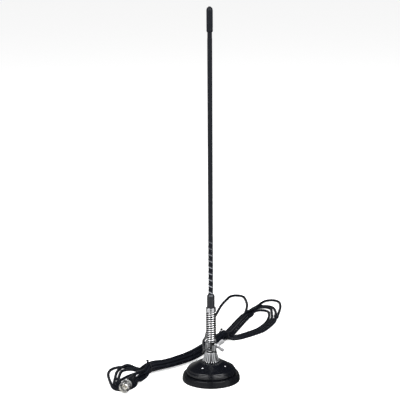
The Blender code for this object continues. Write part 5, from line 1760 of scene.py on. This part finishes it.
@dataclass
class Studio:
    """Camera, floor, soft lights and a banded sky for the metal to mirror."""

    camera_at: tuple[float, float, float] = (-0.0175, -2.4353, 0.9105)
    pitch: float = 13.63
    roll: float = -0.35
    lens: float = 133.74
    film: float = 36.0
    floor_half: float = 14.0
    aim: tuple[float, float, float] = (0.0, 0.0, 0.05)
    floor_glow: float = 0.55
    sky_level: float = 0.5
    mirror_level: float = 1.0
    bands: tuple = ((0.0, 0.5), (0.1, 0.42), (0.2, 0.5), (0.27, 0.85), (0.3, 1.0), (0.455, 1.0),
                    (0.474, 0.3), (0.526, 0.3), (0.545, 1.0), (0.7, 1.0), (0.735, 0.05),
                    (0.96, 0.05), (0.985, 0.5), (1.0, 0.5))
    levels: tuple = ((-1.0, 0.04), (-0.7, 0.1), (-0.5, 0.35), (-0.38, 0.7), (-0.1, 0.8), (0.1, 0.7),
                     (0.3, 0.45), (0.45, 0.08), (1.0, 0.03))

    def build_camera(self) -> None:
        """Place the camera as the photograph's."""
        data = bpy.data.cameras.new("photo_camera")
        data.lens = self.lens
        data.sensor_width = self.film
        data.dof.use_dof = False
        camera = in_scene("photo_camera", data)
        camera.location = self.camera_at
        aim = Matrix.Rotation(math.radians(90.0 - self.pitch), 4, "X")
        camera.rotation_euler = (aim @ Matrix.Rotation(math.radians(self.roll), 4, "Z")).to_euler()
        bpy.context.scene.camera = camera

    def build_floor(self) -> None:
        """A wide white floor that keeps shadows and is not seen in mirrors."""
        half = self.floor_half
        mesh = bpy.data.meshes.new("studio_floor")
        mesh.from_pydata([(-half, -half, 0), (half, -half, 0), (half, half, 0), (-half, half, 0)],
                         [], [(0, 1, 2, 3)])
        floor = in_scene("studio_floor", mesh)
        material = bpy.data.materials.new("studio_paper")
        material.use_nodes = True
        wiring = Wiring(material.node_tree)
        paper = wiring.fill(wiring.nodes["Principled BSDF"], {
            "Base Color": (0.9, 0.9, 0.9, 1.0), "Roughness": 0.95, "Specular IOR Level": 0.0,
            "Emission Color": WHITE, "Emission Strength": self.floor_glow})
        clear = wiring.add("ShaderNodeBsdfTransparent")
        glossy = wiring.add("ShaderNodeLightPath").outputs["Is Glossy Ray"]
        mixed = wiring.mix_shaders(glossy, paper, clear)
        wiring.fill(wiring.nodes["Material Output"], {"Surface": mixed.outputs[0]})
        mesh.materials.append(material)

    def build_light(self, name: str, at: tuple, size: tuple, power: float, mirrored: bool) -> None:
        """An area light that faces the joint.

        Args:
            name: the light's name.
            at: its place.
            size: its width and height.
            power: its power in watts.
            mirrored: whether glossy surfaces show it.
        """
        data = bpy.data.lights.new(name, "AREA")
        data.shape = "RECTANGLE"
        data.size, data.size_y = size
        data.energy = power
        light = in_scene(name, data)
        light.location = at
        way = Vector(self.aim) - Vector(at)
        light.rotation_euler = way.to_track_quat("-Z", "Y").to_euler()
        light.visible_glossy = mirrored

    @staticmethod
    def ramp(wiring: Wiring, place: Feed, stops: list | tuple) -> bpy.types.NodeSocket:
        """Greys along a value from 0 to 1, with (position, grey) stops."""
        node = wiring.add("ShaderNodeValToRGB", {"Fac": place})
        elements = node.color_ramp.elements
        while len(elements) < len(stops):
            elements.new(0.5)
        for element, (position, value) in zip(elements, stops):
            element.position = position
            element.color = (value, value, value, 1.0)
        return node.outputs["Color"]

    def build_sky(self) -> None:
        """White for the camera, soft white for matt surfaces, and grey bands for mirrors.

        A mirror sees band(azimuth) times level(height), with azimuth 0.5 in front.
        """
        world = bpy.data.worlds.new("studio_sky")
        bpy.context.scene.world = world
        world.use_nodes = True
        wiring = Wiring(world.node_tree)
        wiring.nodes.clear()
        place = wiring.add("ShaderNodeTexCoord").outputs["Generated"]
        split = wiring.add("ShaderNodeSeparateXYZ", {"Vector": place}).outputs
        turn = wiring.maths("ARCTAN2", split["X"], wiring.maths("MULTIPLY", split["Y"], -1.0))
        share = wiring.remap(turn, {"From Min": -math.pi, "From Max": math.pi})
        height = wiring.remap(split["Z"], {"From Min": -1.0})
        bands = self.ramp(wiring, share, self.bands)
        levels = self.ramp(wiring, height, [((z + 1) / 2, value) for z, value in self.levels])
        seen = wiring.mix(1.0, bands, levels, "MULTIPLY")
        mirror = wiring.add("ShaderNodeBackground", {"Color": seen, "Strength": self.mirror_level})
        soft = wiring.add("ShaderNodeBackground", {"Strength": self.sky_level})
        white = wiring.add("ShaderNodeBackground", {"Color": WHITE})
        ray = wiring.add("ShaderNodeLightPath").outputs
        lit = wiring.mix_shaders(ray["Is Glossy Ray"], soft, mirror)
        whole = wiring.mix_shaders(ray["Is Camera Ray"], lit, white)
        wiring.add("ShaderNodeOutputWorld", {"Surface": whole.outputs[0]})

    def build_lights(self) -> None:
        """A soft top light that mirrors don't show, and two softboxes that they do."""
        self.build_light("top_soft", (0.0, 0.3, 2.4), (2.2, 1.6), 44.0, False)
        self.build_light("right_box", (0.80, -0.89, 1.20), (1.38, 0.7), 20.0, True)
        self.build_light("left_box", (-0.81, -0.885, 1.20), (1.25, 0.7), 15.0, True)


def build_all() -> None:
    """Build and dress every piece, the camera and the lead first."""
    dye = Dye()
    studio = Studio()
    studio.build_camera()
    relief, ties, plug, lead = StrainRelief(), WireTies(), Plug(), Lead()
    carried = [relief.build(), *ties.build(), *plug.build()]
    lead.build(carried)
    body = (MagneticBase(), BellCollar(), FoldJoint(), ShockSpring(), Whip())
    for part in body:
        LOG.info("building %s", type(part).__name__)
        part.build()
    for part in (relief, ties, plug, lead, *body):
        part.dress(dye)
    studio.build_floor()
    studio.build_sky()
    studio.build_lights()
    bpy.context.scene.view_settings.view_transform = "Standard"


def main() -> None:
    """Build the scene."""
    logging.basicConfig(level=logging.INFO)
    build_all()


if __name__ == "__main__":
    main()
